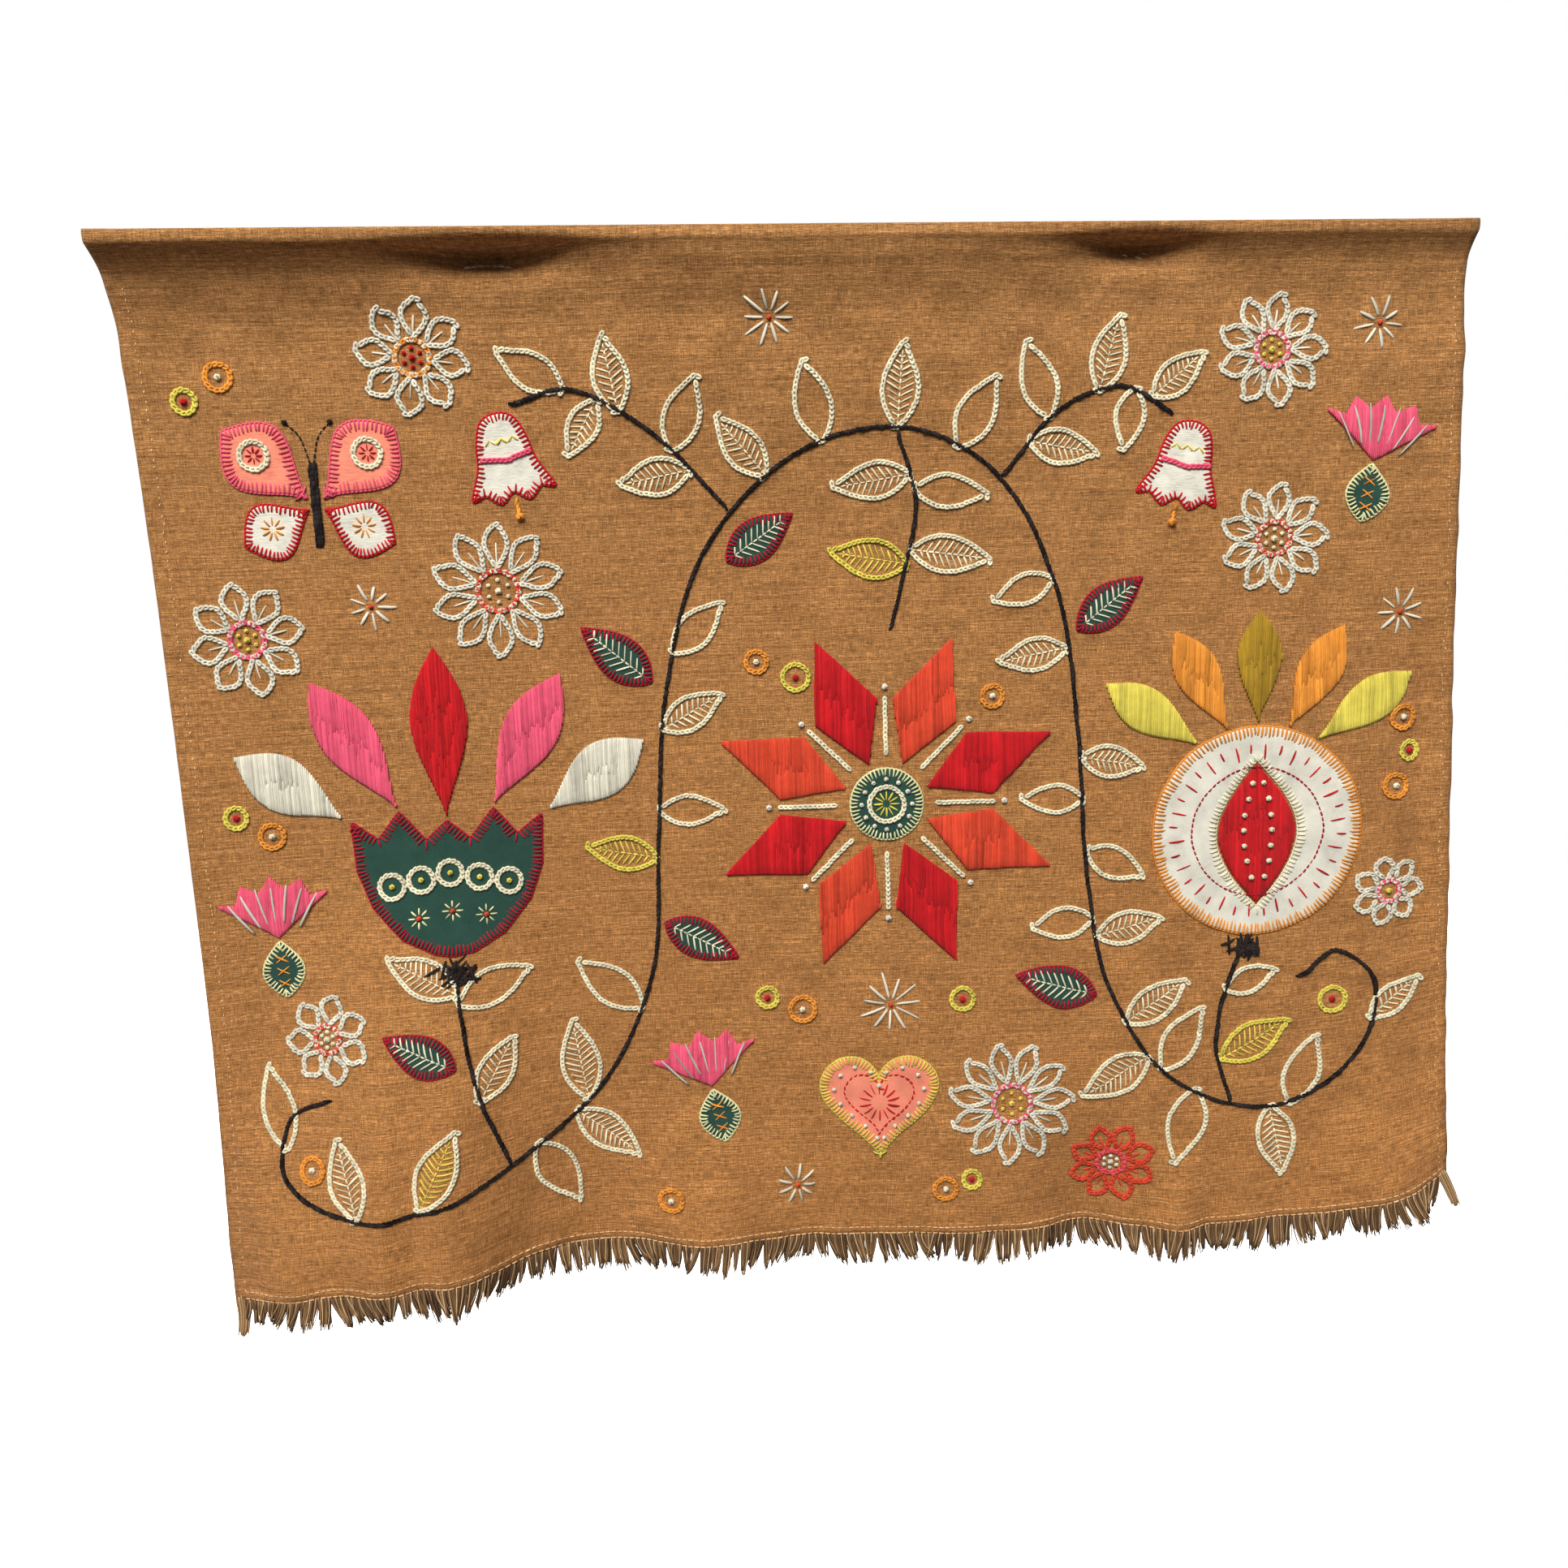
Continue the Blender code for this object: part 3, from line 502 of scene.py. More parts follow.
def patch(name, outline, thick, holes=(), tone=0.0):
    """A flat piece laid on the worked face, with rounded edges and a closed underside."""
    loops = [resample(ring, PATCH_STEP, closed=True)[0] for ring in (outline, *holes)]
    places, rings, inset, start = np.vstack(loops), [], [], 0
    for ring in loops:
        index = list(range(start, start + len(ring)))
        rings.append(index if inward(ring) > 0 else index[::-1])
        start += len(ring)
        side = leftward(unit(neighbours(ring, True))) * PATCH_ROUND
        inset += [ring + side, ring - side]
    corners = zip(places.min(axis=0), places.max(axis=0))
    grid = np.meshgrid(*(np.arange(low, high, PATCH_CELL) for low, high in corners))
    extra = np.vstack([*inset, np.stack(grid, -1).reshape(-1, 2)])
    least = np.where(np.arange(len(extra)) < 2 * len(places), PATCH_ROUND * 0.92, PATCH_ROUND * 2)
    extra = extra[edge_distance(extra, loops) > least]
    vectors = [Vector(p) for p in np.vstack([places, extra])]
    ring_edges = [(ring[k - 1], ring[k]) for ring in rings for k in range(len(ring))]
    flat, _, faces, _, _, owners = delaunay_2d_cdt(vectors, ring_edges, rings, 1, 1e-7)
    kept = [tuple(f) for f, owner in zip(faces, owners) if set(owner) == {0}]
    used = sorted({k for face in kept for k in face})
    place_of = {old: new for new, old in enumerate(used)}
    spots = np.array([tuple(flat[k]) for k in used])
    rise = np.where(edge_distance(spots, loops) > PATCH_ROUND * 0.5, thick, thick * PATCH_EDGE_SHARE)
    top, under = on_cloth(spots, rise)[0], on_cloth(spots, PATCH_UNDER)[0]
    triangles = [tuple(place_of[k] for k in reversed(face)) for face in kept]
    n = len(spots)
    edges = {pair for a, b, c in triangles for pair in ((a, b), (b, c), (c, a))}
    skin = triangles + [(n + c, n + b, n + a) for a, b, c in triangles]
    for a, b in sorted(edges):
        if (b, a) not in edges:
            skin += [(b, a, n + a), (b, n + a, n + b)]
    return new_object(name, np.vstack([top, under]), skin, np.full(2 * n, tone), np.vstack([spots, spots]))


def edge_distance(spots, loops):
    """Distance of each spot to the nearest outline."""
    best = np.full(len(spots), 1e9)
    for ring in loops:
        a, b = ring, np.roll(ring, -1, axis=0)
        d = b - a
        size = np.maximum((d ** 2).sum(axis=1), 1e-15)
        for k in range(len(a)):
            t = np.clip(((spots - a[k]) @ d[k]) / size[k], 0, 1)
            best = np.minimum(best, np.linalg.norm(spots - a[k] - t[:, None] * d[k], axis=1))
    return best


# Outlines, as in the solids

def turned(outline, place, angle=0.0):
    """Local points, x right and y up, put on the flat cloth at a place, turned anticlockwise by degrees."""
    c, s = math.cos(math.radians(angle)), math.sin(math.radians(angle))
    return np.array([(place[0] + x * c - y * s, place[1] - (x * s + y * c)) for x, y in outline])


def spline(points, step, closed=False):
    """Places along a smooth curve through the points, about one step apart."""
    p = [np.array(q, float) for q in points]
    p = [p[-1], *p, p[0], p[1]] if closed else [2 * p[0] - p[1], *p, 2 * p[-1] - p[-2]]
    out = []
    for k in range(1, len(p) - 2):
        count = max(1, round(np.linalg.norm(p[k + 1] - p[k]) / step))
        for t in np.arange(count) / count:
            pull = 2 * p[k - 1] - 5 * p[k] + 4 * p[k + 1] - p[k + 2]
            bend = 3 * p[k] - p[k - 1] - 3 * p[k + 1] + p[k + 2]
            out.append(p[k] + 0.5 * t * (p[k + 1] - p[k - 1] + t * (pull + t * bend)))
    if not closed:
        out.append(p[-2])
    return np.array(out)


def petal(length, width, bias=1.0, steps=18, start=0.0):
    """A leaf or petal from (0, start) up to its tip; a bias over 1 puts its widest part nearer the tip."""
    half = [(0.5 * width * math.sin(math.pi * (k / steps) ** bias), k / steps) for k in range(1, steps)]
    left = [(-w, start + t * length) for w, t in half]
    right = [(w, start + t * length) for w, t in reversed(half)]
    return [(0.0, start), *left, (0.0, start + length), *right]


def ring(centre, radius, squash=1.0, steps=60):
    """A round or squashed outline on the flat cloth."""
    turn = [2 * math.pi * k / steps for k in range(steps)]
    return turned([(radius * math.sin(a), radius * squash * math.cos(a)) for a in turn], centre)


HEART_STEPS = 60


def heart(width):
    """A heart whose lobes point up; its usual curve is 32 units wide."""
    scale = width / 32
    out = []
    for k in range(HEART_STEPS):
        a = 2 * math.pi * k / HEART_STEPS
        y = 13 * math.cos(a) - 5 * math.cos(2 * a) - 2 * math.cos(3 * a) - math.cos(4 * a)
        out.append((16 * scale * math.sin(a) ** 3, scale * y))
    return out


def mirrored(half):
    """A closed outline from its right half, listed from the top centre down to the bottom centre."""
    return [*half, *[(-x, y) for x, y in reversed(half) if x > 1e-9]]


TULIP_CUP = mirrored([(0.0, 0.064), (0.016, 0.050), (0.034, 0.072), (0.050, 0.052), (0.068, 0.066),
                      (0.066, 0.030), (0.056, 0.004), (0.036, -0.020), (0.014, -0.032), (0.0, -0.034)])
BELL = mirrored([(0.0, 0.030), (0.011, 0.026), (0.017, 0.012), (0.020, -0.004), (0.029, -0.024),
                 (0.020, -0.021), (0.010, -0.029), (0.0, -0.022)])
STEMS = {
    "vine_stem": [(-0.372, 0.592), (-0.403, 0.606), (-0.405, 0.648), (-0.355, 0.675), (-0.265, 0.664),
                  (-0.180, 0.612), (-0.132, 0.520), (-0.122, 0.415), (-0.112, 0.310), (-0.082, 0.212),
                  (-0.018, 0.146), (0.060, 0.128), (0.128, 0.162), (0.170, 0.240), (0.186, 0.340),
                  (0.192, 0.440), (0.208, 0.535), (0.256, 0.612), (0.330, 0.640), (0.392, 0.610),
                  (0.408, 0.555), (0.380, 0.522), (0.352, 0.538)],
    "tulip_stem": [(-0.2440, 0.6520), (-0.262, 0.600), (-0.272, 0.545), (-0.275, 0.5015)],
    "star_stem": [(0.058, 0.1330), (0.070, 0.180), (0.062, 0.225), (0.052, 0.2655)],
    "fruit_stem": [(0.300, 0.6310), (0.290, 0.590), (0.296, 0.545), (0.312, 0.5055)],
    "bell_stem_left": [(-0.0640, 0.1780), (-0.112, 0.128), (-0.165, 0.098), (-0.206, 0.106)],
    "bell_stem_right": [(0.1335, 0.1605), (0.170, 0.120), (0.214, 0.104), (0.250, 0.122)],
}
# Felt leaves: name, root, angle, length, width
FELT_LEAVES = (
    ("leaf_a", (-0.122, 0.300), 50, 0.062, 0.030),
    ("leaf_b", (-0.120, 0.480), -118, 0.060, 0.028),
    ("leaf_c", (0.186, 0.272), -52, 0.058, 0.028),
    ("leaf_d", (0.200, 0.545), 74, 0.062, 0.030),
    ("leaf_e", (-0.278, 0.575), 62, 0.056, 0.028),
    ("leaf_f", (-0.064, 0.216), -56, 0.056, 0.028),
)
TULIP_AT = (-0.275, 0.460)
TULIP_PETAL_WIDTH = 0.040
TULIP_PETAL_BIAS = 1.25
TULIP_PETALS = (
    (-0.074, 0.0700, -56, 0.086, "white"),
    (-0.035, 0.0765, -30, 0.106, "pink"),
    (0.000, 0.0680, 0, 0.122, "red"),
    (0.035, 0.0765, 30, 0.106, "pink"),
    (0.074, 0.0700, 56, 0.086, "white"),
)
STAR_AT = (0.046, 0.395)
STAR_POINT = [(0.0, 0.032), (-0.0245, 0.074), (0.0, 0.130), (0.0245, 0.074)]
STAR_CENTRE = 0.026
STAR_POINTS = 8
STAR_COLOURS = ("red", "orange_red")
FRUIT_AT = (0.318, 0.425)
FRUIT_RADIUS = 0.076
FRUIT_TALL = 1.02
FRUIT_OPENING = {"length": 0.112, "width": 0.062, "start": -0.058}
FRUIT_SEEDS = {"length": 0.104, "width": 0.056, "start": -0.054}
CROWN_GAP = 0.0025
CROWN_ROOT_SHARE = 0.6
CROWN_PETAL = {"length": 0.082, "width": 0.032, "bias": 1.3}
FRUIT_CROWN = ((-56, "yellow"), (-28, "orange"), (0, "mustard"), (28, "orange"), (56, "yellow"))
HEART_AT = (0.036, 0.622)
HEART_WIDTH = 0.088
BUTTERFLY_AT = (-0.345, 0.165)
# Wings: name, root across and down from the middle, lean, length, width, bias
WINGS = (
    ("upper_wing", 0.006, 0.0, 48, 0.068, 0.048, 1.45),
    ("lower_wing", 0.006, 0.008, 118, 0.050, 0.038, 1.35),
)
BELLS = (("bell_left", (-0.214, 0.142), 10), ("bell_right", (0.261, 0.159), -12))
THISTLES = (("thistle_left", (-0.400, 0.505), 4), ("thistle_right", (0.392, 0.190), -10),
            ("thistle_foot", (-0.084, 0.640), 12))
THISTLE_CUP = {"length": 0.040, "width": 0.030, "bias": 0.9, "start": -0.012}
THISTLE_FAN_ROOT = 0.031
THISTLE_FAN_CENTRE = 0.012
THISTLE_FAN_REACH = (0.064, 0.054)
THISTLE_FAN_SPREAD = 40
THISTLE_FAN_TEETH = 9
LEAF_BIAS = 0.8

# Chain-stitched leaf sprigs, only in thread: across, down, angle, length, width, in mm and degrees, and kind.
# A kind is the yarn of the outline and the yarn of the veins.
SPRIG_KINDS = {
    "open": ("cream", None), "cream": ("cream", "cream"),
    "mixed": ("cream", "yellow"), "yellow": ("yellow", "yellow"),
}
SPRIGS = (
    (-352, 675, 14, 58, 27, "cream"), (-306, 672, -26, 60, 27, "mixed"), (-404, 625, 14, 60, 24, "open"),
    (-262, 602, -30, 50, 24, "cream"), (-273.5, 530, -66, 56, 25, "open"),
    (-274.5, 522, 60, 56, 25, "cream"), (-185, 616, 8, 64, 28, "cream"), (-225, 644, -150, 60, 26, "open"),
    (-195, 625, -128, 60, 26, "cream"), (-140, 545, 52, 60, 27, "open"),
    (-123.5, 430, 80, 52, 24, "yellow"), (-120.5, 395, -90, 48, 21, "open"),
    (-115, 335, -60, 50, 23, "cream"), (-105, 280, -45, 50, 23, "open"), (-88, 153, 100, 50, 24, "cream"),
    (-100, 140, -20, 52, 24, "open"), (-135, 113, 10, 50, 23, "cream"), (-172, 97, 60, 50, 23, "open"),
    (-150, 105, 150, 42, 20, "cream"), (-35, 158, 40, 52, 24, "cream"), (5, 136, 15, 54, 25, "open"),
    (57, 128, -4, 56, 25, "cream"), (100, 143, -28, 54, 25, "open"), (66, 160, 98, 55, 24, "cream"),
    (69, 170, -95, 52, 22, "open"), (66, 212, -98, 58, 25, "cream"), (64, 222, 80, 56, 26, "yellow"),
    (168, 235, 110, 45, 20, "open"), (178, 285, 100, 50, 22, "cream"), (190, 395, 90, 45, 20, "open"),
    (189, 365, -100, 46, 22, "cream"), (193, 435, -115, 46, 22, "open"), (200, 500, -75, 50, 23, "cream"),
    (197, 485, 100, 45, 22, "open"), (222, 568, -55, 55, 25, "cream"), (250, 606, -30, 56, 25, "open"),
    (240, 595, 120, 58, 27, "cream"), (275, 622, 165, 60, 27, "open"), (330, 640, -170, 56, 26, "cream"),
    (294, 600, -60, 56, 26, "yellow"), (296, 545, -70, 40, 19, "open"), (345, 640, -20, 56, 25, "open"),
    (404, 580, -50, 45, 21, "cream"), (150, 140, -100, 50, 23, "cream"), (165, 124, 20, 54, 24, "open"),
    (200, 107, -15, 52, 24, "cream"), (225, 106, 170, 42, 20, "open"), (238, 112, -50, 46, 22, "cream"),
)
# Chain-stitched rosettes: place, radius, petals, petal yarn, ring yarn, knot yarn
BLOOMS = (
    ((-0.402, 0.260), 0.039, 8, "white", "pink", "yellow"),
    ((-0.226, 0.232), 0.046, 10, "white", "orange_red", "cream"),
    ((0.136, 0.628), 0.047, 11, "white", "pink", "yellow"),
    ((0.327, 0.212), 0.038, 9, "white", "orange_red", "cream"),
    ((0.322, 0.082), 0.038, 9, "white", "pink", "yellow"),
    ((-0.271, 0.075), 0.037, 8, "white", "orange", "red"),
    ((0.416, 0.479), 0.026, 7, "white", "pink", "yellow"),
    ((-0.370, 0.549), 0.031, 7, "white", "orange_red", "cream"),
    ((0.213, 0.680), 0.031, 8, "orange_red", "pink", "white"),
)
# White bursts of straight stitches: place, rays, ray length
BURSTS = (
    ((0.046, 0.548), 11, 0.024),
    ((-0.315, 0.240), 9, 0.017),
    ((0.420, 0.268), 9, 0.018),
    ((-0.028, 0.690), 9, 0.017),
    ((-0.030, 0.055), 10, 0.020),
    ((0.400, 0.065), 9, 0.018),
)
# Berries: small chain rings with a knot: across, down and radius in mm, ring yarn
BERRY_KNOTS = {"yellow": "red", "orange": "cream"}
BERRIES = (
    (-18, 300, 9, "yellow"), (-46, 288, 7, "orange"), (124, 318, 7, "orange"), (-400, 400, 8, "orange"),
    (-424, 385, 7, "yellow"), (424, 346, 8, "orange"), (430, 372, 6, "yellow"), (420, 398, 8, "orange"),
    (-20, 550, 9, "orange"), (-46, 540, 7, "yellow"), (100, 545, 8, "yellow"), (376, 560, 9, "yellow"),
    (-385.5, 640, 8, "orange"), (-400, 85, 8, "orange"), (-424, 100, 7, "yellow"), (85, 695, 8, "orange"),
    (105, 688, 6, "yellow"), (-125, 697, 8, "orange"),
)


# Materials

WHITE = (1.0, 1.0, 1.0)


def node(tree, kind, **values):
    """A shader node; settings by name, input values by the socket's name with underscores for spaces."""
    made = tree.nodes.new(kind)
    for key, value in values.items():
        name = key.replace("_", " ")
        if name in made.inputs:
            made.inputs[name].default_value = value
        else:
            setattr(made, key, value)
    return made


def new_material(name, roughness, sheen):
    """A material whose Principled shader has its plain numbers set."""
    material = bpy.data.materials.new(name)
    material.use_nodes = True
    tree = material.node_tree
    shader = tree.nodes["Principled BSDF"]
    for socket, value in (("Roughness", roughness), ("Specular IOR Level", 0.12), ("Sheen Weight", sheen),
                          ("Sheen Roughness", 0.5), ("Sheen Tint", (*WHITE, 1.0))):
        shader.inputs[socket].default_value = value
    return material, tree, shader


def noise(tree, coords, scale, detail=3.0, stretch=(1.0, 1.0, 1.0), roughness=0.55):
    """A noise pattern in metres, stretched along its axes."""
    mapping = node(tree, "ShaderNodeMapping")
    mapping.inputs["Scale"].default_value = stretch
    tree.links.new(coords, mapping.inputs["Vector"])
    made = node(tree, "ShaderNodeTexNoise", Scale=scale, Detail=detail, Roughness=roughness)
    tree.links.new(mapping.outputs["Vector"], made.inputs["Vector"])
    return made.outputs["Fac"]



def math_node(tree, kind, *values, clamp=False):
    made = node(tree, "ShaderNodeMath", operation=kind, use_clamp=clamp)
    for socket, value in zip(made.inputs, values):
        if isinstance(value, (int, float)):
            socket.default_value = value
        else:
            tree.links.new(value, socket)
    return made.outputs["Value"]


def swing(tree, pattern, share):
    """A pattern's swing about one half, times a share."""
    return math_node(tree, "MULTIPLY", math_node(tree, "SUBTRACT", pattern, 0.5), share)


def toned(tree, *swings):
    """One half, the tone kept on each point and the swings of patterns, in all from 0 to 1."""
    fac = math_node(tree, "ADD", 0.5, node(tree, "ShaderNodeAttribute", attribute_name="tone").outputs["Fac"])
    for k, (pattern, share) in enumerate(swings, 1):
        fac = math_node(tree, "ADD", fac, swing(tree, pattern, share), clamp=k == len(swings))
    return fac


def ramp(tree, fac, *stops):
    """A colour ramp from stops of place and colour."""
    made = node(tree, "ShaderNodeValToRGB")
    elements = made.color_ramp.elements
    while len(elements) < len(stops):
        elements.new(0.5)
    for element, (place, colour) in zip(elements, stops):
        element.position = place
        element.color = (*colour, 1.0)
    tree.links.new(fac, made.inputs["Fac"])
    return made.outputs["Color"]


def mixed(tree, kind, fac, a, b):
    """Two colours blended; each a socket or a colour."""
    made = node(tree, "ShaderNodeMix", data_type="RGBA", blend_type=kind)
    for socket, value in ((made.inputs[0], fac), (made.inputs[6], a), (made.inputs[7], b)):
        if isinstance(value, (int, float)):
            socket.default_value = value
        elif isinstance(value, tuple):
            socket.default_value = (*value, 1.0)
        else:
            tree.links.new(value, socket)
    return made.outputs[2]


def finish_material(material, tree, shader, colours, height, strength, distance):
    """Join the colours and, in relief, a height to the shader."""
    tree.links.new(colours, shader.inputs["Base Color"])
    if height is not None:
        made = node(tree, "ShaderNodeBump", Strength=strength, Distance=distance)
        tree.links.new(height, made.inputs["Height"])
        tree.links.new(made.outputs["Normal"], shader.inputs["Normal"])
    return material


def shade(colour, factor):
    return tuple(min(1.0, c * factor) for c in colour)


def shades(tree, fac, colour, dark, light, ends=(0.0, 1.0)):
    """A ramp from a darkened colour through itself to a lightened one."""
    return ramp(tree, fac, (ends[0], shade(colour, dark)), (0.5, colour), (ends[1], shade(colour, light)))


def object_coords(tree):
    return node(tree, "ShaderNodeTexCoord").outputs["Object"]


def yarn_material(name, colour, contrast, sheen):
    """Wool yarn: a tone for each stitch, fine fibres and a soft sheen."""
    material, tree, shader = new_material(name, 0.85, sheen)
    coords = object_coords(tree)
    fibres = noise(tree, coords, 2600.0, 3.0)
    fac = toned(tree, (fibres, 0.7), (noise(tree, coords, 160.0, 2.0), 0.5))
    colours = shades(tree, fac, colour, 1 - contrast, 1 + contrast)
    return finish_material(material, tree, shader, colours, fibres, 0.35, 0.0004)


def felt_material(name, colour, woven=False):
    """Matt felt, or fine linen: mottled, with fuzz or a fine weave."""
    material, tree, shader = new_material(name, 0.95, 0.10)
    coords = object_coords(tree)
    mottle = noise(tree, coords, 90.0, 4.0)
    if woven:
        fuzz = noise(tree, coords, 700.0, 2.0, (0.25, 1.0, 1.6))
    else:
        fuzz = noise(tree, coords, 1500.0, 4.0, roughness=0.7)
    fac = math_node(tree, "ADD", *(math_node(tree, "MULTIPLY", pattern, 0.5) for pattern in (mottle, fuzz)))
    colours = shades(tree, fac, colour, 0.70, 1.22, (0.28, 0.72))
    return finish_material(material, tree, shader, colours, fuzz, 0.5, 0.0006)


# The weave: metres from thread to thread, and how far the threads wander
THREAD = 0.00074
THREAD_WANDER = 0.010
# Noise on the linen: scale, detail, stretch, roughness
LINEN_NOISE = {
    "slubs": (1.0, 4.0, (150.0, 1400.0, 1.0), 0.66),
    "long_slubs": (1.0, 2.0, (17.0, 820.0, 1.0), 0.5),
    "ends": (1.0, 3.0, (1300.0, 110.0, 1.0), 0.6),
    "grain": (1500.0, 2.0),
    "cloud": (7.0, 4.0),
    "blotch": (32.0, 3.0),
}
# How each pattern shades the colour: share, lowest and highest value, and the factors of the colour there
LINEN_SHADES = (
    ("slubs", 1.0, 0.30, 0.72, (0.44, 0.40, 0.36), (1.70, 1.76, 1.88)),
    ("long_slubs", 0.9, 0.28, 0.74, (0.70, 0.68, 0.66), (1.40, 1.42, 1.48)),
    ("ends", 1.0, 0.30, 0.70, (0.66, 0.64, 0.62), (1.38, 1.38, 1.40)),
    ("blotch", 0.4, 0.30, 0.70, (0.84, 0.82, 0.80), (1.14, 1.14, 1.14)),
    ("weave", 0.8, 0.00, 1.00, (0.55, 0.52, 0.50), (1.32, 1.32, 1.32)),
    ("grain", 1.0, 0.30, 0.70, (0.56, 0.54, 0.52), (1.48, 1.48, 1.52)),
)


def linen_material():
    """Tan plain-weave linen: single threads, slubs along the weft, a lighter orange towards the foot."""
    material, tree, shader = new_material("linen ground weave", 0.9, 0.04)
    flat = node(tree, "ShaderNodeAttribute", attribute_name="flat").outputs["Vector"]
    parts = node(tree, "ShaderNodeSeparateXYZ")
    tree.links.new(flat, parts.inputs[0])
    wander = swing(tree, noise(tree, flat, 26.0, 2.0), THREAD_WANDER)
    bent = [math_node(tree, "ADD", way, wander) for way in parts.outputs[:2]]
    rate = 2 * math.pi / THREAD
    warp, weft = (math_node(tree, "SINE", math_node(tree, "MULTIPLY", way, rate)) for way in bent)
    weave = math_node(tree, "MULTIPLY_ADD", math_node(tree, "MULTIPLY", warp, weft), 0.5, 0.5)
    patterns = {name: noise(tree, flat, *row) for name, row in LINEN_NOISE.items()} | {"weave": weave}
    height = math_node(tree, "DIVIDE", parts.outputs[1], LENGTH, clamp=True)
    fac = math_node(tree, "ADD", math_node(tree, "MULTIPLY", height, 0.75),
                    math_node(tree, "MULTIPLY", patterns["cloud"], 0.35))
    colours = ramp(tree, fac, (0.10, COLOURS["ground_top"]), (0.95, COLOURS["ground_foot"]))
    for name, share, low, high, dark, light in LINEN_SHADES:
        shading = ramp(tree, patterns[name], (low, dark), (0.5 * (low + high), WHITE), (high, light))
        colours = mixed(tree, "MULTIPLY", share, colours, shading)
    relief = math_node(tree, "ADD", weave, math_node(tree, "MULTIPLY", patterns["slubs"], 1.6))
    relief = math_node(tree, "ADD", relief, patterns["ends"])
    return finish_material(material, tree, shader, colours, relief, 0.55, 0.00045)


def fringe_material():
    """Loose linen threads: tan, dark brown and a few pale ones, darker at the roots; the dark brown is partly
    their own colour and partly painted shade.
    """
    material, tree, shader = new_material("fringe threads", 0.9, 0.05)
    fibres = noise(tree, object_coords(tree), 1800.0, 3.0)
    fac = toned(tree, (fibres, 0.5))
    colours = ramp(tree, fac, (0.0, (0.050, 0.026, 0.014)), (0.35, (0.16, 0.085, 0.038)),
                   (0.62, (0.33, 0.185, 0.080)), (1.0, (0.66, 0.44, 0.23)))
    return finish_material(material, tree, shader, colours, fibres, 0.3, 0.0003)


def floor_material():
    material, tree, shader = new_material("studio floor", 0.8, 0.0)
    grain = noise(tree, object_coords(tree), 3.0, 4.0)
    colours = ramp(tree, grain, (0.3, (0.86, 0.86, 0.86)), (0.7, (0.89, 0.89, 0.89)))
    return finish_material(material, tree, shader, colours, None, 0.0, 0.0)


# Pieces

CLOTH_CELL = 0.0042
CLOTH_ROLL_END = 1.2 * RIM_FACE
CLOTH_FINE_END = 0.04
NODE_SLOTS = {part["node"]: part["material_slot"] for part in frame["record"]["subparts"]}
yarns = {}
made_pieces = []


def keep(piece, material, slot, *nodes):
    """Dress a piece, let it ride on the one body and hide the solids it stands for."""
    piece.data.materials.append(material)
    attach(piece, "root")
    if nodes:
        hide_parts(*nodes)
    made_pieces.append(piece)
    return piece


def build_cloth():
    """The ground cloth: a fine sheet with its rim, hems, folds and creases."""
    columns = np.linspace(-WIDTH / 2, WIDTH / 2, int(WIDTH / CLOTH_CELL) + 1)
    below = int((LENGTH - CLOTH_FINE_END) / CLOTH_CELL) + 1
    rows = np.concatenate([
        np.linspace(0, CLOTH_ROLL_END, 13), np.linspace(CLOTH_ROLL_END, CLOTH_FINE_END, 14)[1:],
        np.linspace(CLOTH_FINE_END, LENGTH, below)[1:]])
    u, v = np.meshgrid(columns, rows, indexing="ij")
    middle, normal = cloth_point(u, v), cloth_normal(u, v)
    half = (cloth_thickness(u, v) / 2)[..., None]
    n = u.size
    points = np.vstack([(middle + normal * half).reshape(-1, 3), (middle - normal * half).reshape(-1, 3)])
    index = np.arange(n).reshape(u.shape)
    a, b, c, d = index[:-1, :-1], index[:-1, 1:], index[1:, 1:], index[1:, :-1]
    front = np.stack([a, b, c, d], -1).reshape(-1, 4)
    back = front[:, ::-1] + n
    rim = np.concatenate([index[:, 0], index[-1, 1:], index[-2::-1, -1], index[0, -2:0:-1]])
    after = np.roll(rim, -1)
    edge = np.stack([rim, after, after + n, rim + n], -1)
    flat = np.stack([u, v], -1).reshape(-1, 2)
    faces = np.vstack([front, back, edge])
    return new_object("ground_cloth_weave", points, faces, None, np.vstack([flat, flat]))


FRINGE_LENGTH = 0.027
FRINGE_SWAYS = ((34.0, 0.6, 0.0050), (87.0, 2.1, 0.0032), (171.0, 4.0, 0.0012))
FRINGE_ROOT = 0.0012
# The fringe is a little shorter at its left end and grows to full length over this far
FRINGE_GROWS_OVER = 0.12
LOCK_WIDTHS = (0.0045, 0.0100)
LOCK_LENGTHS = (0.84, 1.04)
LOCK_PULL = (0.45, 0.85)
# How much a lock's lean and tone, and a thread's place, lean, curl and width, differ from one to the next
LOCK_LEAN, LOCK_TONE = 0.0022, 0.07
THREAD_PLACE, THREAD_LEAN, THREAD_CURL, THREAD_WIDTHS = 0.0003, 0.0007, 0.0006, (0.8, 1.25)
# Threads of the fringe: count, how far behind, half width, half depth, tone (lower further behind: painted
# shade), rings, shortest, longest
STRANDS = (
    (950, 0.0006, 0.00095, 0.00040, -0.44, 5, 0.66, 0.90),
    (1500, 0.0001, 0.00042, 0.00038, -0.26, 6, 0.78, 1.02),
    (1400, -0.0005, 0.00036, 0.00034, -0.10, 6, 0.74, 1.00),
    (190, -0.0010, 0.00030, 0.00030, 0.44, 6, 0.70, 1.02),
)
OUTWARD = np.array([0.0, -1.0, 0.0])
TAIL_LEFT = 0.0085
TAIL_RIGHT = 0.0060


def lock_sway(u):
    """How far the threads of the fringe lean sideways, in drifts along the foot."""
    return sum(size * np.sin(rate * u + start) for rate, start, size in FRINGE_SWAYS)


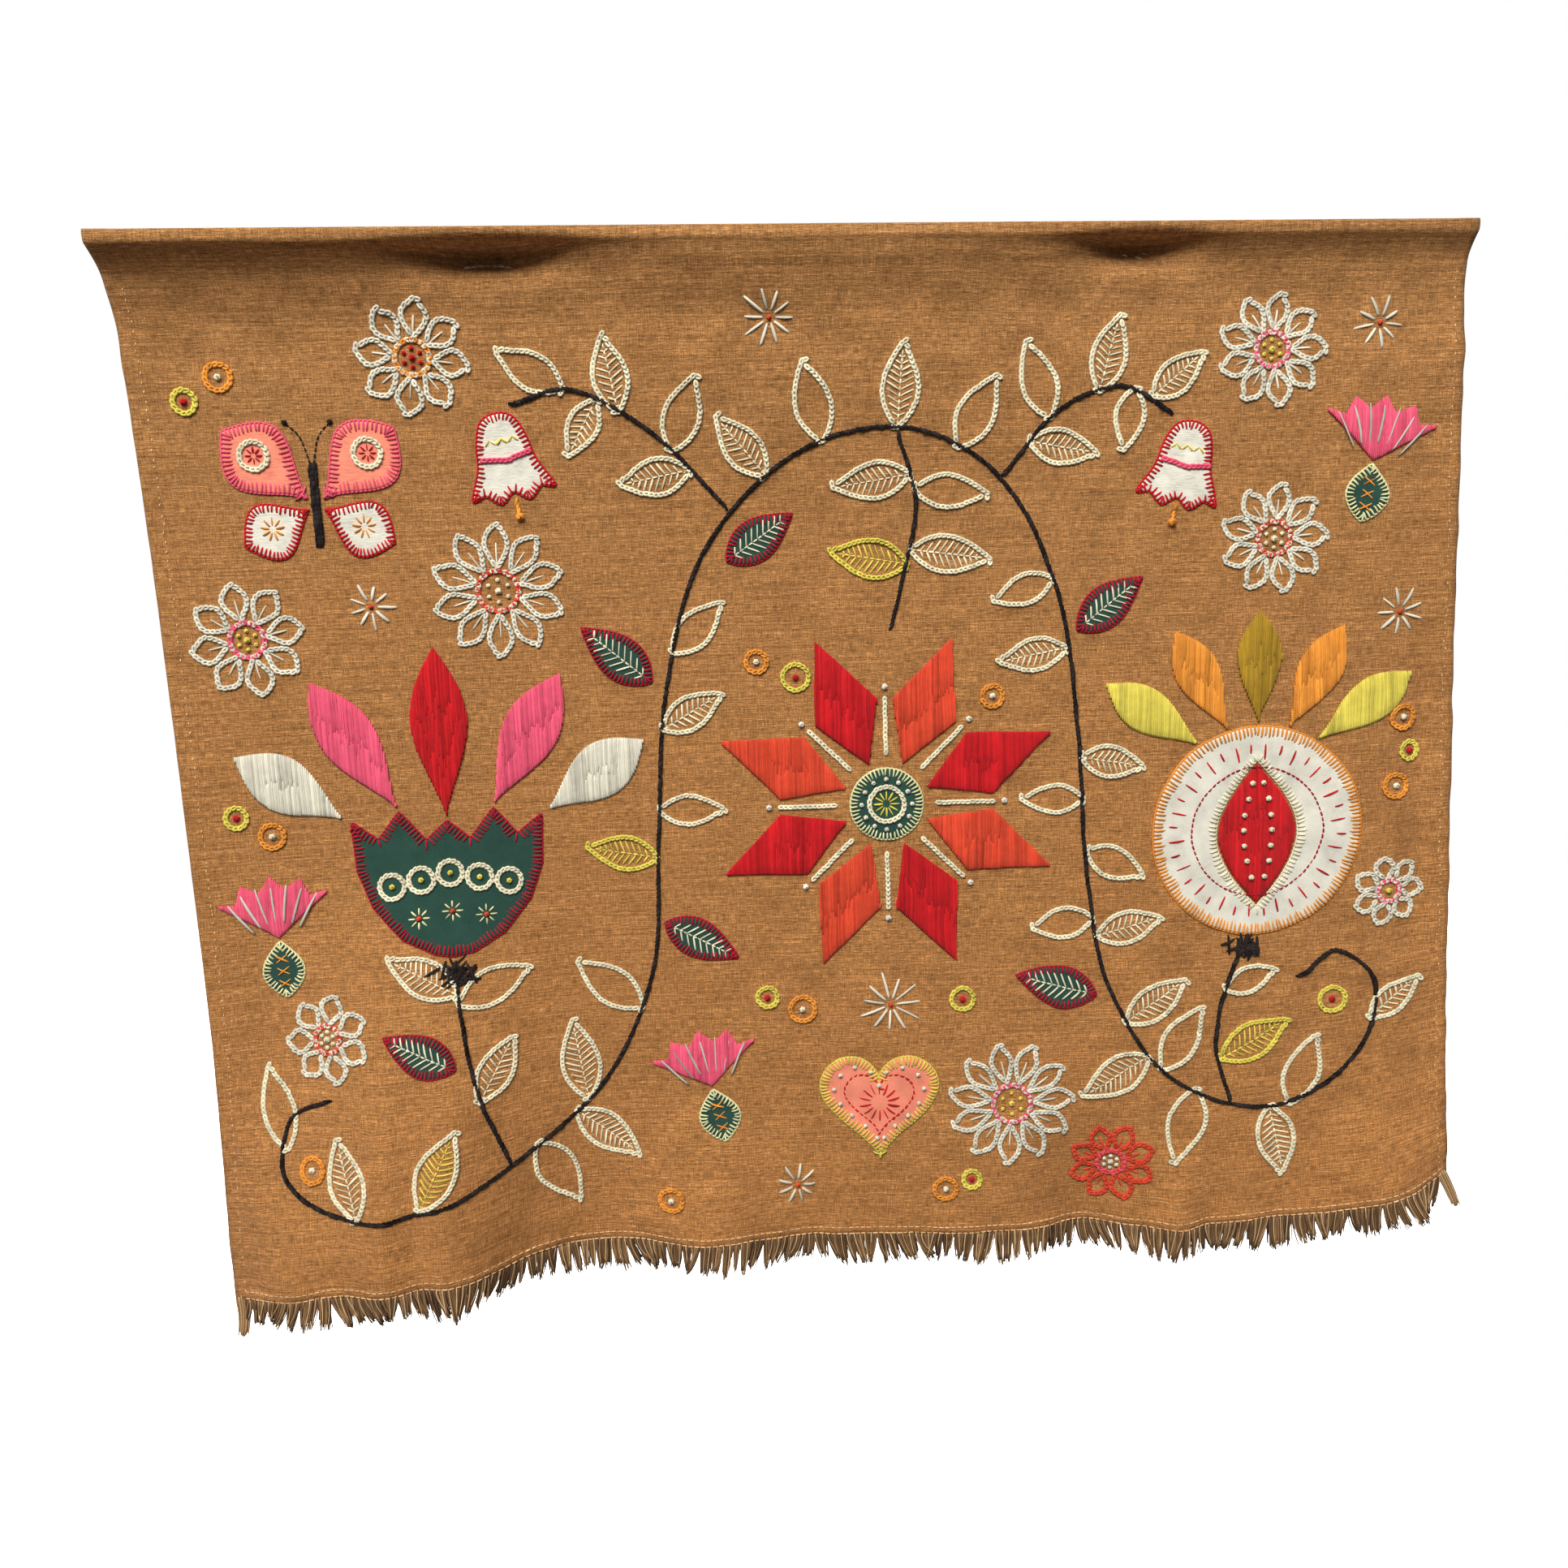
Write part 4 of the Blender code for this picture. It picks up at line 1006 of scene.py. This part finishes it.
def build_fringe():
    """The fringe: loose threads drawn into slanting locks, dark ones behind, darkened partly as painted shade,
    and a few pale ones in front.
    """
    threads = Yarn()
    bounds = np.cumsum(chance.uniform(*LOCK_WIDTHS, int(WIDTH / LOCK_WIDTHS[0]))) - WIDTH / 2
    middles = 0.5 * (bounds[1:] + bounds[:-1])
    lock_lean = chance.normal(0, LOCK_LEAN, len(middles))
    lock_length = chance.uniform(*LOCK_LENGTHS, len(middles))
    lock_tone = chance.normal(0, LOCK_TONE, len(middles))
    for count, deep, wide, tall, tone, rings, shortest, longest in STRANDS:
        u = np.linspace(-WIDTH / 2 + TAIL_LEFT, WIDTH / 2 - TAIL_RIGHT, count)
        u = u + chance.normal(0, THREAD_PLACE, count)
        lock = np.clip(np.searchsorted(bounds, u) - 1, 0, len(middles) - 1)
        pull = (middles[lock] - u) * chance.uniform(*LOCK_PULL, count)
        lean = lock_sway(u) + lock_lean[lock] + pull + chance.normal(0, THREAD_LEAN, count)
        grown = smooth((u + WIDTH / 2) / FRINGE_GROWS_OVER)
        length = FRINGE_LENGTH * (0.86 + 0.14 * grown) * lock_length[lock]
        length = length * chance.uniform(shortest, longest, count)
        t = np.linspace(0, 1, rings)
        foot = np.stack([u, np.full_like(u, LENGTH - FRINGE_ROOT)], -1)
        root, _ = on_cloth(foot, -CLOTH_THICK / 2 - deep * 0.7)
        path = np.repeat(root[:, None], len(t), axis=1)
        curl = chance.normal(0, THREAD_CURL, (count, 2))
        path[..., 0] += lean[:, None] * t ** 1.5 + curl[:, :1] * np.sin(3.0 * t)
        path[..., 1] += deep * 1.5 * t - 0.004 * np.sin(61.0 * u)[:, None] * t ** 1.6 + curl[:, 1:] * t ** 2
        path[..., 2] -= length[:, None] * t
        shape = (1 - 0.45 * t ** 2)[None] * chance.uniform(*THREAD_WIDTHS, count)[:, None]
        # Tones: each lock's and thread's own, plus painted shade, darker on the threads behind and towards the
        # roots
        tones = tone + lock_tone[lock][:, None] + random_tone(count, 0.13)[:, None] + (0.20 * t - 0.12)[None]
        threads.add(tubes(path, OUTWARD, wide * shape, tall * shape), tones)
    return threads.make("fringe_threads")


# Hems below the foot: side, width, drop, how far out, half thickness
TAILS = ((-1, 0.0100, 0.0315, -0.0010, 0.0011), (1, 0.0084, 0.0270, 0.0120, 0.0009))
TAIL_RINGS = 10
TAIL_TAPER = ([0, 0.2, 0.75, 0.95, 1.0], [1.0, 1.0, 0.9, 0.6, 0.25])
TAIL_THREADS = 5
TAIL_THREAD = 0.0005


def build_tails():
    """The side hems run on past the foot: a folded tail on the left, a loose narrow one on the right."""
    tails = Yarn()
    for side, width, drop, out, thick in TAILS:
        t = np.linspace(0, 1, TAIL_RINGS)
        root, _ = on_cloth(np.array([[side * (WIDTH / 2 - width / 2), LENGTH - 0.002]]), -CLOTH_THICK / 2)
        path = np.repeat(root[:, None], TAIL_RINGS, axis=1)
        path[..., 0] += out * t ** 1.1 + 0.0012 * np.sin(3.1 * t)
        path[..., 1] += -0.003 * t ** 2
        path[..., 2] -= drop * t
        shape = np.interp(t, *TAIL_TAPER)
        tails.add(tubes(path, OUTWARD, width / 2 * shape, thick, 8), -0.05 * side)
        for k in range(TAIL_THREADS):
            place = path + np.array([width * (k - 2) / 5.2, -thick * 0.9, 0.0])
            place[..., 2] -= 0.002 * chance.uniform(-1, 1.2)
            tails.add(tubes(place, OUTWARD, TAIL_THREAD * shape, TAIL_THREAD * shape), 0.25 + 0.1 * (k % 2))
    return tails.make("hem_tails")


def yarn(use):
    """The yarn of a colour, or of a colour and what it is used for, such as cream leaf."""
    return yarns.setdefault(use, Yarn())


# Which slot of the record goes with each yarn; keep is handed it but does not use it
YARN_SLOTS = {
    "black": "black_wool", "white": "white_wool", "cream": "cream_wool", "red": "red_wool",
    "orange_red": "orange_red_wool", "crimson": "red_wool", "pink": "pink_wool", "yellow": "yellow_wool",
    "lemon": "yellow_wool", "mustard": "mustard_wool", "orange": "orange_wool",
    "hem_thread": "linen_ground", "grey_white": "white_wool",
}
yarn_materials = {}
YARN_CONTRAST = 0.42
YARN_SHEEN = 0.08
BLACK_CONTRAST = 0.9


def wool(colour):
    """The material of a colour of wool, made once."""
    if colour not in yarn_materials:
        looks = (BLACK_CONTRAST, 0.0) if colour == "black" else (YARN_CONTRAST, YARN_SHEEN)
        yarn_materials[colour] = yarn_material(f"{colour} yarn", COLOURS[colour], *looks)
    return yarn_materials[colour]


def satin_piece(name, members, colour):
    """A solidly stitched area: pads, set darker as painted shade, under rows of satin stitches, one mesh for its
    solids.
    """
    rows = Yarn()
    for k, outline in enumerate(members.values(), 1):
        # The pad's tone of -0.25 is painted shade where it shows between the satin stitches
        pad = patch(f"{name}_pad_{k}" if len(members) > 1 else f"{name}_pad", outline, PAD, tone=-0.25)
        keep(pad, wool(colour), YARN_SLOTS[colour])
        satin(rows, outline)
    keep(rows.make(name), wool(colour), YARN_SLOTS[colour], *members)


def radial(centre, inner, outer, count, start=0.0):
    """Start and end places of rays round a centre; angles are clockwise from straight up."""
    turn = np.radians(start + 360.0 * np.arange(count) / count)
    way = np.stack([np.sin(turn), -np.cos(turn)], axis=1)
    inner, outer = np.broadcast_to(inner, count)[:, None], np.broadcast_to(outer, count)[:, None]
    return np.array(centre) + way * inner, np.array(centre) + way * outer


ROPE_STEP = 0.0016
ROPE_RADIUS = 0.00115


def build_stems():
    """Each stem: one long cord couched down, set darker as painted shade, under a rope of stem stitches."""
    for name, route in STEMS.items():
        rope = Yarn()
        line = spline(route, 0.003)
        cord = resample(line, ROPE_STEP)[0]
        path, normal = on_cloth(cord[None], ROPE_RADIUS * 0.6)
        # The cord's tone sits below the rope's as painted shade between the stitches, and rises and falls along
        # it
        tones = -0.3 + 0.10 * np.sin(np.arange(len(cord)) * 1.7)[None]
        rope.add(tubes(path, normal, ROPE_RADIUS, ROPE_RADIUS, 5), tones)
        stem_stitch(rope, line)
        keep(rope.make(f"{name}_rope"), wool("black"), "black_wool", name)


MARK_WIDTH = 0.0012
MARK_RISE = 0.0008


def shifted(place, across, down):
    return place[0] + across, place[1] + down


def spokes(colour, centre, inner, outer, count, base, width=MARK_WIDTH, start=0.0):
    """Short straight stitches that stand round a centre."""
    straight(yarn(colour), *radial(centre, inner, outer, count, start), width, MARK_RISE, base)


def chain_ring(colour, centre, radius, base=0.0, steps=24):
    chain(yarn(colour), ring(centre, radius, steps=steps), base, closed=True)


SPRIG_BIAS = 0.85
VEIN_APART = 0.0046
VEIN_MARGIN = 0.0022
VEIN_SHORTEST = 0.0012


def sprig(root, angle, length, width, kind):
    """A leaf in thread: a chain outline, and mostly a middle line and slanting stitches for veins."""
    outline, veins = SPRIG_KINDS[kind]
    chain(yarn(f"{outline} leaf"), turned(petal(length, width, SPRIG_BIAS), root, angle), closed=True)
    if veins is None:
        return
    rise = math.radians(angle)
    way = np.array([-math.sin(rise), -math.cos(rise)])
    count = max(4, int(length / VEIN_APART))
    t = (np.arange(count) + 0.7) / (count + 0.4)
    half = 0.5 * width * np.sin(math.pi * t ** SPRIG_BIAS) - VEIN_MARGIN
    shown = half > VEIN_SHORTEST
    middle = np.array(root) + way * (t * length * 0.94)[:, None]
    for turn in (-1, 1):
        tip = middle + leftward(way) * (turn * half)[:, None] + way * (0.55 * half)[:, None]
        straight(yarn(veins), middle[shown], tip[shown], MARK_WIDTH, MARK_RISE)
    back_stitch(yarn(veins), [root, np.array(root) + way * length * 0.9], 0.0045, MARK_WIDTH)


BLOOM_HEART = 0.30
BLOOM_FILL = 1.75
BLOOM_MIDDLE = 0.62
BLOOM_BIAS = 1.35
BLOOM_RAY_REACH = 0.74
BLOOM_RAY_LEAST = 8
BLOOM_KNOTS = {"least": 0.008, "share": 0.56, "count": 6, "radius": 0.0015}


def bloom(place, radius, count, petals, ring_yarn, knot):
    """A rosette in thread: chain-stitched petals round a ring with spokes and knots."""
    heart_size = BLOOM_HEART * radius
    width = BLOOM_FILL * math.pi * BLOOM_MIDDLE * radius / count
    turn = chance.uniform(0, 360)
    for k in range(count):
        angle = turn + 360.0 * k / count
        at = math.radians(angle)
        root = (place[0] - heart_size * math.sin(at), place[1] - heart_size * math.cos(at))
        shape = turned(petal(radius - heart_size, width, BLOOM_BIAS), root, angle)
        chain(yarn(f"{petals} bloom"), shape, closed=True)
        if count >= BLOOM_RAY_LEAST:
            ray = radial(place, heart_size + 0.003, radius * BLOOM_RAY_REACH, 1, -angle)
            straight(yarn(petals), *ray, MARK_WIDTH, 0.0009)
    chain_ring(ring_yarn, place, heart_size, steps=30)
    knots(yarn(knot), [place], LARGE_KNOT)
    if heart_size > BLOOM_KNOTS["least"]:
        spots = radial(place, 0, heart_size * BLOOM_KNOTS["share"], BLOOM_KNOTS["count"])[1]
        knots(yarn(knot), spots, BLOOM_KNOTS["radius"])


WING_SEWING = (
    {"look": "salmon_linen", "edging": "pink", "reach": 0.0065},
    {"look": "white_linen", "edging": "red", "reach": 0.005},
)


def build_patches():
    """Felt and linen pieces, each on its solid's place, with blanket stitch round them."""
    looks = {
        slot: felt_material(slot.replace("_", " "), COLOURS[colour], "linen" in slot)
        for slot, colour in (("green_felt", "green"), ("salmon_felt", "salmon"), ("white_felt", "felt_white"),
                             ("white_linen", "felt_white"), ("salmon_linen", "salmon"))}

    def lay(name, outline, thick, edging, reach=0.0065, holes=(), look=None):
        slot = NODE_SLOTS[name]
        keep(patch(f"{name}_cloth", outline, thick, holes), looks[look or slot], slot, name)
        blanket(yarn(edging), outline, thick, reach)

    lay("tulip_cup", turned(TULIP_CUP, TULIP_AT), FELT, "crimson")
    lay("star_centre", ring(STAR_AT, STAR_CENTRE), FELT, "lemon", 0.0055)
    opening = turned(petal(**FRUIT_OPENING, steps=24), FRUIT_AT)
    lay("fruit_body", ring(FRUIT_AT, FRUIT_RADIUS, FRUIT_TALL), FELT, "orange", 0.0075, [opening])
    blanket(yarn("cream"), opening, FELT, 0.0055, hole=True)
    lay("heart_patch", turned(heart(HEART_WIDTH), HEART_AT), FELT, "yellow")
    for (name, across, down, lean, *sizes), sewing in zip(WINGS, WING_SEWING):
        for side, mark in ((-1, "left"), (1, "right")):
            shape = turned(petal(*sizes), shifted(BUTTERFLY_AT, side * across, down), -side * lean)
            lay(f"{name}_{mark}", shape, LINEN, **sewing)
    for name, place, angle in BELLS:
        lay(name, turned(spline([*BELL], 0.004, closed=True), place, angle), LINEN, "red", 0.005)
    for name, place, angle in THISTLES:
        lay(f"{name}_cup", turned(petal(**THISTLE_CUP, steps=16), place, angle), FELT, "lemon", 0.005)
    for name, root, angle, length, width in FELT_LEAVES:
        lay(name, turned(petal(length, width, LEAF_BIAS), root, angle), FELT, "crimson", 0.0055)


def build_satin():
    """The solidly stitched areas, gathered by group and colour."""
    groups = {}

    def gather(group, colour, name, outline, place, angle):
        groups.setdefault((group, colour), {})[name] = turned(outline, place, angle)

    for k, (across, up, angle, length, colour) in enumerate(TULIP_PETALS, 1):
        shape = petal(length, TULIP_PETAL_WIDTH, TULIP_PETAL_BIAS)
        gather("tulip_petals", colour, f"tulip_petal_{k}", shape, shifted(TULIP_AT, across, -up), -angle)
    for k in range(STAR_POINTS):
        turn = 360 * (k + 0.5) / STAR_POINTS
        gather("star_points", STAR_COLOURS[k % 2], f"star_point_{k + 1}", STAR_POINT, STAR_AT, turn)
    crown = FRUIT_RADIUS + CROWN_GAP
    for k, (angle, colour) in enumerate(FRUIT_CROWN, 1):
        at = math.radians(angle * CROWN_ROOT_SHARE)
        root = shifted(FRUIT_AT, crown * math.sin(at), -(crown * FRUIT_TALL * math.cos(at)))
        gather("fruit_crown", colour, f"fruit_crown_{k}", petal(**CROWN_PETAL), root, -angle)
    for name, place, angle in THISTLES:
        fan = [(0.0, THISTLE_FAN_ROOT)]
        for k in range(THISTLE_FAN_TEETH):
            at = math.radians(THISTLE_FAN_SPREAD * (2 * k / (THISTLE_FAN_TEETH - 1) - 1))
            reach = THISTLE_FAN_REACH[k % 2]
            fan.append((reach * math.sin(at), THISTLE_FAN_CENTRE + reach * math.cos(at)))
        gather("thistle_fans", "pink", f"{name}_fan", fan, place, angle)
    for (group, colour), members in groups.items():
        satin_piece(f"{group}_{colour}", members, colour)
    satin_piece("fruit_seeds_rows", {"fruit_seeds": turned(petal(**FRUIT_SEEDS, steps=24), FRUIT_AT)}, "red")


def work_motifs():
    """Sprigs, rosettes, bursts and berries on the bare cloth."""
    for across, down, angle, length, width, kind in SPRIGS:
        sprig((across / 1000, down / 1000), angle, length / 1000, width / 1000, kind)
    for row in BLOOMS:
        bloom(*row)
    for place, count, reach in BURSTS:
        rays = radial(place, 0.004, reach * chance.uniform(0.8, 1.1, count), count, chance.uniform(0, 30))
        straight(yarn("white"), *rays, 0.0019, 0.0013)
        knots(yarn("orange_red"), [place])
    for across, down, radius, colour in BERRIES:
        place = (across / 1000, down / 1000)
        chain_ring(colour, place, radius / 1000)
        knots(yarn(BERRY_KNOTS[colour]), [place], LARGE_KNOT)


def cup_row(reach, apart, down, bend):
    """Places in a bent row across the tulip's cup."""
    return [shifted(TULIP_AT, apart * k, down + bend * abs(k)) for k in range(-reach, reach + 1)]


def work_tulip():
    """Scallops, spokes and knots on the tulip's cup."""
    for spot in cup_row(reach=2, apart=0.021, down=-0.026, bend=0.004):
        chain_ring("cream", spot, 0.0085, FELT)
        knots(yarn("yellow"), [spot], 0.0020, FELT)
    for spot in cup_row(reach=1, apart=0.024, down=0.002, bend=0.004):
        spokes("lemon", spot, inner=0.0025, outer=0.0078, count=8, base=FELT)
        knots(yarn("orange_red"), [spot], 0.0018, FELT)


def work_star():
    """Rings and spokes on the star's disc, and chains and knots between its points."""
    chain_ring("cream", STAR_AT, 0.0125, FELT, steps=60)
    spokes("yellow", STAR_AT, inner=0.0025, outer=0.0098, count=12, base=FELT)
    knots(yarn("white"), radial(STAR_AT, 0, 0.0185, 12)[1], 0.0017, FELT)
    for k in range(STAR_POINTS):
        start, end = radial(STAR_AT, 0.036, 0.078, 1, 45.0 * k)
        chain(yarn("cream"), [start[0], end[0]])
        knots(yarn("white"), radial(STAR_AT, 0, 0.086, 1, 45.0 * k)[1], LARGE_KNOT)


def work_fruit():
    """Rays on the fruit, and pairs of knots down its opening."""
    long_and_short = np.where(np.arange(36) % 2, 0.058, 0.053)
    spokes("red", FRUIT_AT, inner=long_and_short, outer=0.0655, count=36, base=FELT, start=5.0)
    back_stitch(yarn("crimson"), ring(FRUIT_AT, 0.048), base=FELT, closed=True)
    for down in np.linspace(-0.036, 0.034, 7):
        apart = 0.010 * math.cos(down * 32)
        knots(yarn("cream"), [shifted(FRUIT_AT, side * apart, down) for side in (-1, 1)], 0.0019, 0.0022)


def work_heart():
    """A ring of back stitch, rays and a row of knots."""
    back_stitch(yarn("red"), turned(heart(0.052), HEART_AT), base=FELT, closed=True)
    spokes("red", shifted(HEART_AT, 0.0, 0.002), inner=0.006, outer=0.0155, count=14, base=FELT, width=0.0010)
    knots(yarn("white"), resample(turned(heart(0.068), HEART_AT), 0.013, closed=True)[0], SMALL_KNOT, FELT)


FEELER = ((0.001, -0.022), (0.006, -0.040), (0.015, -0.050))


def work_butterfly():
    """Body, feelers and wing marks."""
    for shift in (-0.0016, 0.0, 0.0016):
        stem_stitch(yarn("black"), [shifted(BUTTERFLY_AT, shift, down) for down in (-0.020, 0.030)])
    for side in (-1, 1):
        feeler = spline([shifted(BUTTERFLY_AT, side * across, down) for across, down in FEELER], 0.003)
        back_stitch(yarn("black"), feeler)
        knots(yarn("black"), [feeler[-1]], 0.0018)
        upper = shifted(BUTTERFLY_AT, side * 0.038, -0.029)
        chain_ring("cream", upper, 0.009, LINEN)
        spokes("crimson", upper, inner=0.0015, outer=0.0062, count=8, base=LINEN, width=0.0011)
        lower = shifted(BUTTERFLY_AT, side * 0.031, 0.020)
        spokes("orange", lower, inner=0.002, outer=0.0085, count=9, base=LINEN)


def work_bell(place, angle):
    """A clapper, a band of chain stitch and a zigzag."""
    clapper = turned([(0.0, -0.030), (0.0, -0.040)], place, angle)
    stem_stitch(yarn("orange"), clapper)
    knots(yarn("orange"), [clapper[-1]], 0.0028)
    chain(yarn("pink"), turned([(-0.017, 0.002), (0.0, -0.001), (0.017, 0.002)], place, angle), LINEN)
    across = np.linspace(-0.012, 0.012, 7)
    zigzag = turned([(x, 0.010 + 0.004 * (k % 2)) for k, x in enumerate(across)], place, angle)
    straight(yarn("yellow"), zigzag[:-1], zigzag[1:], 0.0011, MARK_RISE, LINEN)


CROSS = ((-0.005, -0.003), (0.005, 0.003), (-0.005, 0.003), (0.005, -0.003))
FEATHER_WAYS = np.radians(np.linspace(-34, 34, 7))
FEATHER_ENDS = (0.030, 0.058)


def work_thistle(place, angle):
    """Cross stitches on the cup and pale feathers over the fan."""
    for middle in (-0.002, 0.007, 0.016):
        cross = turned([(x, middle + y) for x, y in CROSS], place, angle)
        straight(yarn("orange"), cross[[0, 2]], cross[[1, 3]], 0.0010, MARK_RISE, FELT)
    feathers = [
        turned([(end * math.sin(a), THISTLE_FAN_CENTRE + end * math.cos(a)) for a in FEATHER_WAYS], place, angle)
        for end in FEATHER_ENDS]
    straight(yarn("grey_white"), *feathers, 0.0013, 0.0010, 0.0019, rings=6)


def work_leaf(root, angle, length, width):
    """Herringbone veins on a felt leaf."""
    along = np.linspace(0.12, 0.82, 9) * length
    half = 0.34 * width * np.sin(math.pi * (along / length) ** LEAF_BIAS)
    middle = turned([(0.0, y) for y in along], root, angle)
    for side in (-1, 1):
        tips = turned([(side * w, y + 0.7 * w) for w, y in zip(half, along)], root, angle)
        straight(yarn("cream"), middle, tips, 0.0011, MARK_RISE, FELT)
    back_stitch(yarn("cream"), middle[[0, -1]], 0.004, 0.0011, FELT)


def work_tangle(place, size, count=26):
    """Dark crossing stitches where a stem meets what it carries."""
    scatter = chance.normal(0, 1, (count, 2)) * [size * 0.42, size * 0.25]
    spots = np.array(shifted(place, 0.0, 0.006)) + scatter
    turn = chance.uniform(0, math.pi, count)
    way = np.stack([np.cos(turn), np.sin(turn)], 1) * size * chance.uniform(0.35, 0.6, count)[:, None]
    straight(yarn("black"), spots - way, spots + way, 0.0018, 0.0017, chance.uniform(0, 1) * 0.0003)


def build_thread_work():
    """Embroidery that lies on the patches and on the bare cloth."""
    for work in (work_motifs, work_tulip, work_star, work_fruit, work_heart, work_butterfly):
        work()
    for _, place, angle in BELLS:
        work_bell(place, angle)
    for _, place, angle in THISTLES:
        work_thistle(place, angle)
    for _, *leaf in FELT_LEAVES:
        work_leaf(*leaf)
    work_tangle(STEMS["tulip_stem"][-1], 0.016)
    work_tangle(STEMS["fruit_stem"][-1], 0.014)


PRICK = {"apart": 0.0062, "length": 0.0021, "width": 0.0007, "rise": 0.0004}
PRICK_LINES = (-WIDTH / 2 + 0.011, WIDTH / 2 - 0.007)
HEMSTITCH_PITCH = 0.0046
# Hemstitched lines: how far up from the foot, stitch width, share of the pitch that is stitched
HEMSTITCH_LINES = ((0.0056, 0.0008, 0.95), (0.0008, 0.0010, 0.98))
# The left tack's thread is an arc, the right one has loose ends: places from the tack
TACK_ARC = {"reach": 0.016, "down": 0.0078, "rise": 0.0022, "points": 8}
TACK_ENDS = ((-0.006, 0.004), (0.003, 0.006), (0.008, 0.003))


def build_hems():
    """Light pricked stitches of the side hems, the hemstitched lines of the foot and the tack threads."""
    thread = yarn("hem_thread")
    for across in PRICK_LINES:
        v = np.arange(0.030, LENGTH - 0.004, PRICK["apart"])
        v = v + chance.normal(0, 0.0006, len(v))
        start = np.stack([across + chance.normal(0, 0.0004, len(v)), v], 1)
        straight(thread, start, start + [0.0, PRICK["length"]], PRICK["width"], PRICK["rise"])
    u = np.arange(-WIDTH / 2 + 0.010, WIDTH / 2 - 0.008, HEMSTITCH_PITCH)
    for up, width, share in HEMSTITCH_LINES:
        v = LENGTH - up + 0.0004 * np.sin(u * 90.0)
        start, end = np.stack([u, v], 1), np.stack([u + HEMSTITCH_PITCH * share, [*v[1:], v[-1]]], 1)
        straight(thread, start, end, width, 0.0006, rings=4)
    left, right = ((tack["across"], tack["down"]) for tack in TACKS)
    turn = np.linspace(-1, 1, TACK_ARC["points"])
    down = TACK_ARC["down"] - TACK_ARC["rise"] * (1 - turn ** 2)
    arc = np.stack(shifted(left, TACK_ARC["reach"] * turn, down), 1)
    straight(yarn("white"), arc[:-1], arc[1:], 0.0010, MARK_RISE)
    spots = np.array([shifted(right, *end) for end in TACK_ENDS])
    straight(yarn("white"), spots, spots + [0.004, 0.0015], 0.0008, 0.0006)


# Camera, lights and floor

LENS = 28.0
SENSOR = 36.0
EYE = Vector((-0.0834, -0.8876, -0.2154))
LOOK = Vector((0.0612, 0.9814, -0.1818))
RIGHT = Vector((0.9973, -0.0678, -0.0298))
FLOOR_DROP = 2.2
FLOOR = [(-8, -8, 0), (8, -8, 0), (8, 8.6, 0), (-8, 8.6, 0)]
MIDDLE = (0.0, 0.0, -0.36)
# Area lights: place, aim, size, power, colour
LIGHTS = {
    "key light": ((-0.75, -2.6, 2.05), MIDDLE, (2.4, 1.7), 186.0, (1.0, 0.99, 0.96)),
    "fill light": ((-1.6, -2.2, 0.4), MIDDLE, (1.6, 1.6), 3.0, WHITE),
    "back light": ((0.9, 2.6, 0.9), MIDDLE, (1.4, 1.4), 60.0, WHITE),
    "floor light": ((0.0, 0.3, -1.2), (0.0, 0.3, -3.0), (17.5, 18.5), 2900.0, WHITE),
}
# Strength of the surrounding light from straight below, from the side and from straight above
AMBIENT = ((0.0, 0.02), (0.5, 0.12), (1.0, 0.36))


def build_camera():
    back = (-LOOK).normalized()
    right = (RIGHT - back * RIGHT.dot(back)).normalized()
    up = back.cross(right)
    camera = bpy.data.objects.new("camera", bpy.data.cameras.new("camera"))
    camera.data.sensor_width = SENSOR
    camera.data.lens = LENS
    camera.data.clip_start = 0.01
    camera.matrix_world = Matrix((
        (right.x, up.x, back.x, EYE.x),
        (right.y, up.y, back.y, EYE.y),
        (right.z, up.z, back.z, EYE.z),
        (0.0, 0.0, 0.0, 1.0)))
    bpy.context.scene.collection.objects.link(camera)
    bpy.context.scene.camera = camera


def area_light(name, place, aim, size, power, colour):
    light = bpy.data.objects.new(name, bpy.data.lights.new(name, "AREA"))
    light.data.shape = "RECTANGLE"
    light.data.size, light.data.size_y = size
    light.data.energy = power
    light.data.color = colour
    light.location = place
    light.rotation_euler = (Vector(aim) - Vector(place)).to_track_quat("-Z", "Y").to_euler()
    bpy.context.scene.collection.objects.link(light)


def build_studio():
    floor = new_object("studio_floor", FLOOR, [(0, 1, 2, 3)])
    floor.location.z = -LENGTH - FLOOR_DROP
    floor.data.materials.append(floor_material())
    floor.visible_diffuse = False
    for name, row in LIGHTS.items():
        area_light(name, *row)
    world = bpy.data.worlds.new("pale studio")
    world.use_nodes = True
    tree = world.node_tree
    back = tree.nodes["Background"]
    back.inputs["Color"].default_value = (*WHITE, 1.0)
    parts = node(tree, "ShaderNodeSeparateXYZ")
    tree.links.new(node(tree, "ShaderNodeTexCoord").outputs["Generated"], parts.inputs[0])
    height = math_node(tree, "MULTIPLY_ADD", parts.outputs[2], 0.5, 0.5)
    sky = ramp(tree, height, *[(place, (power, power, power)) for place, power in AMBIENT])
    seen = node(tree, "ShaderNodeLightPath").outputs["Is Camera Ray"]
    tree.links.new(math_node(tree, "MAXIMUM", sky, seen), back.inputs["Strength"])
    bpy.context.scene.world = world
    bpy.context.scene.view_settings.view_transform = "Standard"


def main():
    cloth = keep(build_cloth(), linen_material(), "linen_ground", "ground_cloth")
    threads = fringe_material()
    keep(build_fringe(), threads, "fringe_yarn", "fringe")
    keep(build_tails(), threads, "fringe_yarn")
    build_stems()
    build_patches()
    build_satin()
    build_thread_work()
    build_hems()
    for use, strands in yarns.items():
        colour = use.split()[0]
        keep(strands.make(f"thread_{use.replace(' ', '_')}"), wool(colour), YARN_SLOTS[colour])
    build_studio()
    build_camera()
    triangles = {piece.name: len(piece.data.loops) - 2 * len(piece.data.polygons) for piece in made_pieces}
    print("triangles", sum(triangles.values()), triangles)


main()
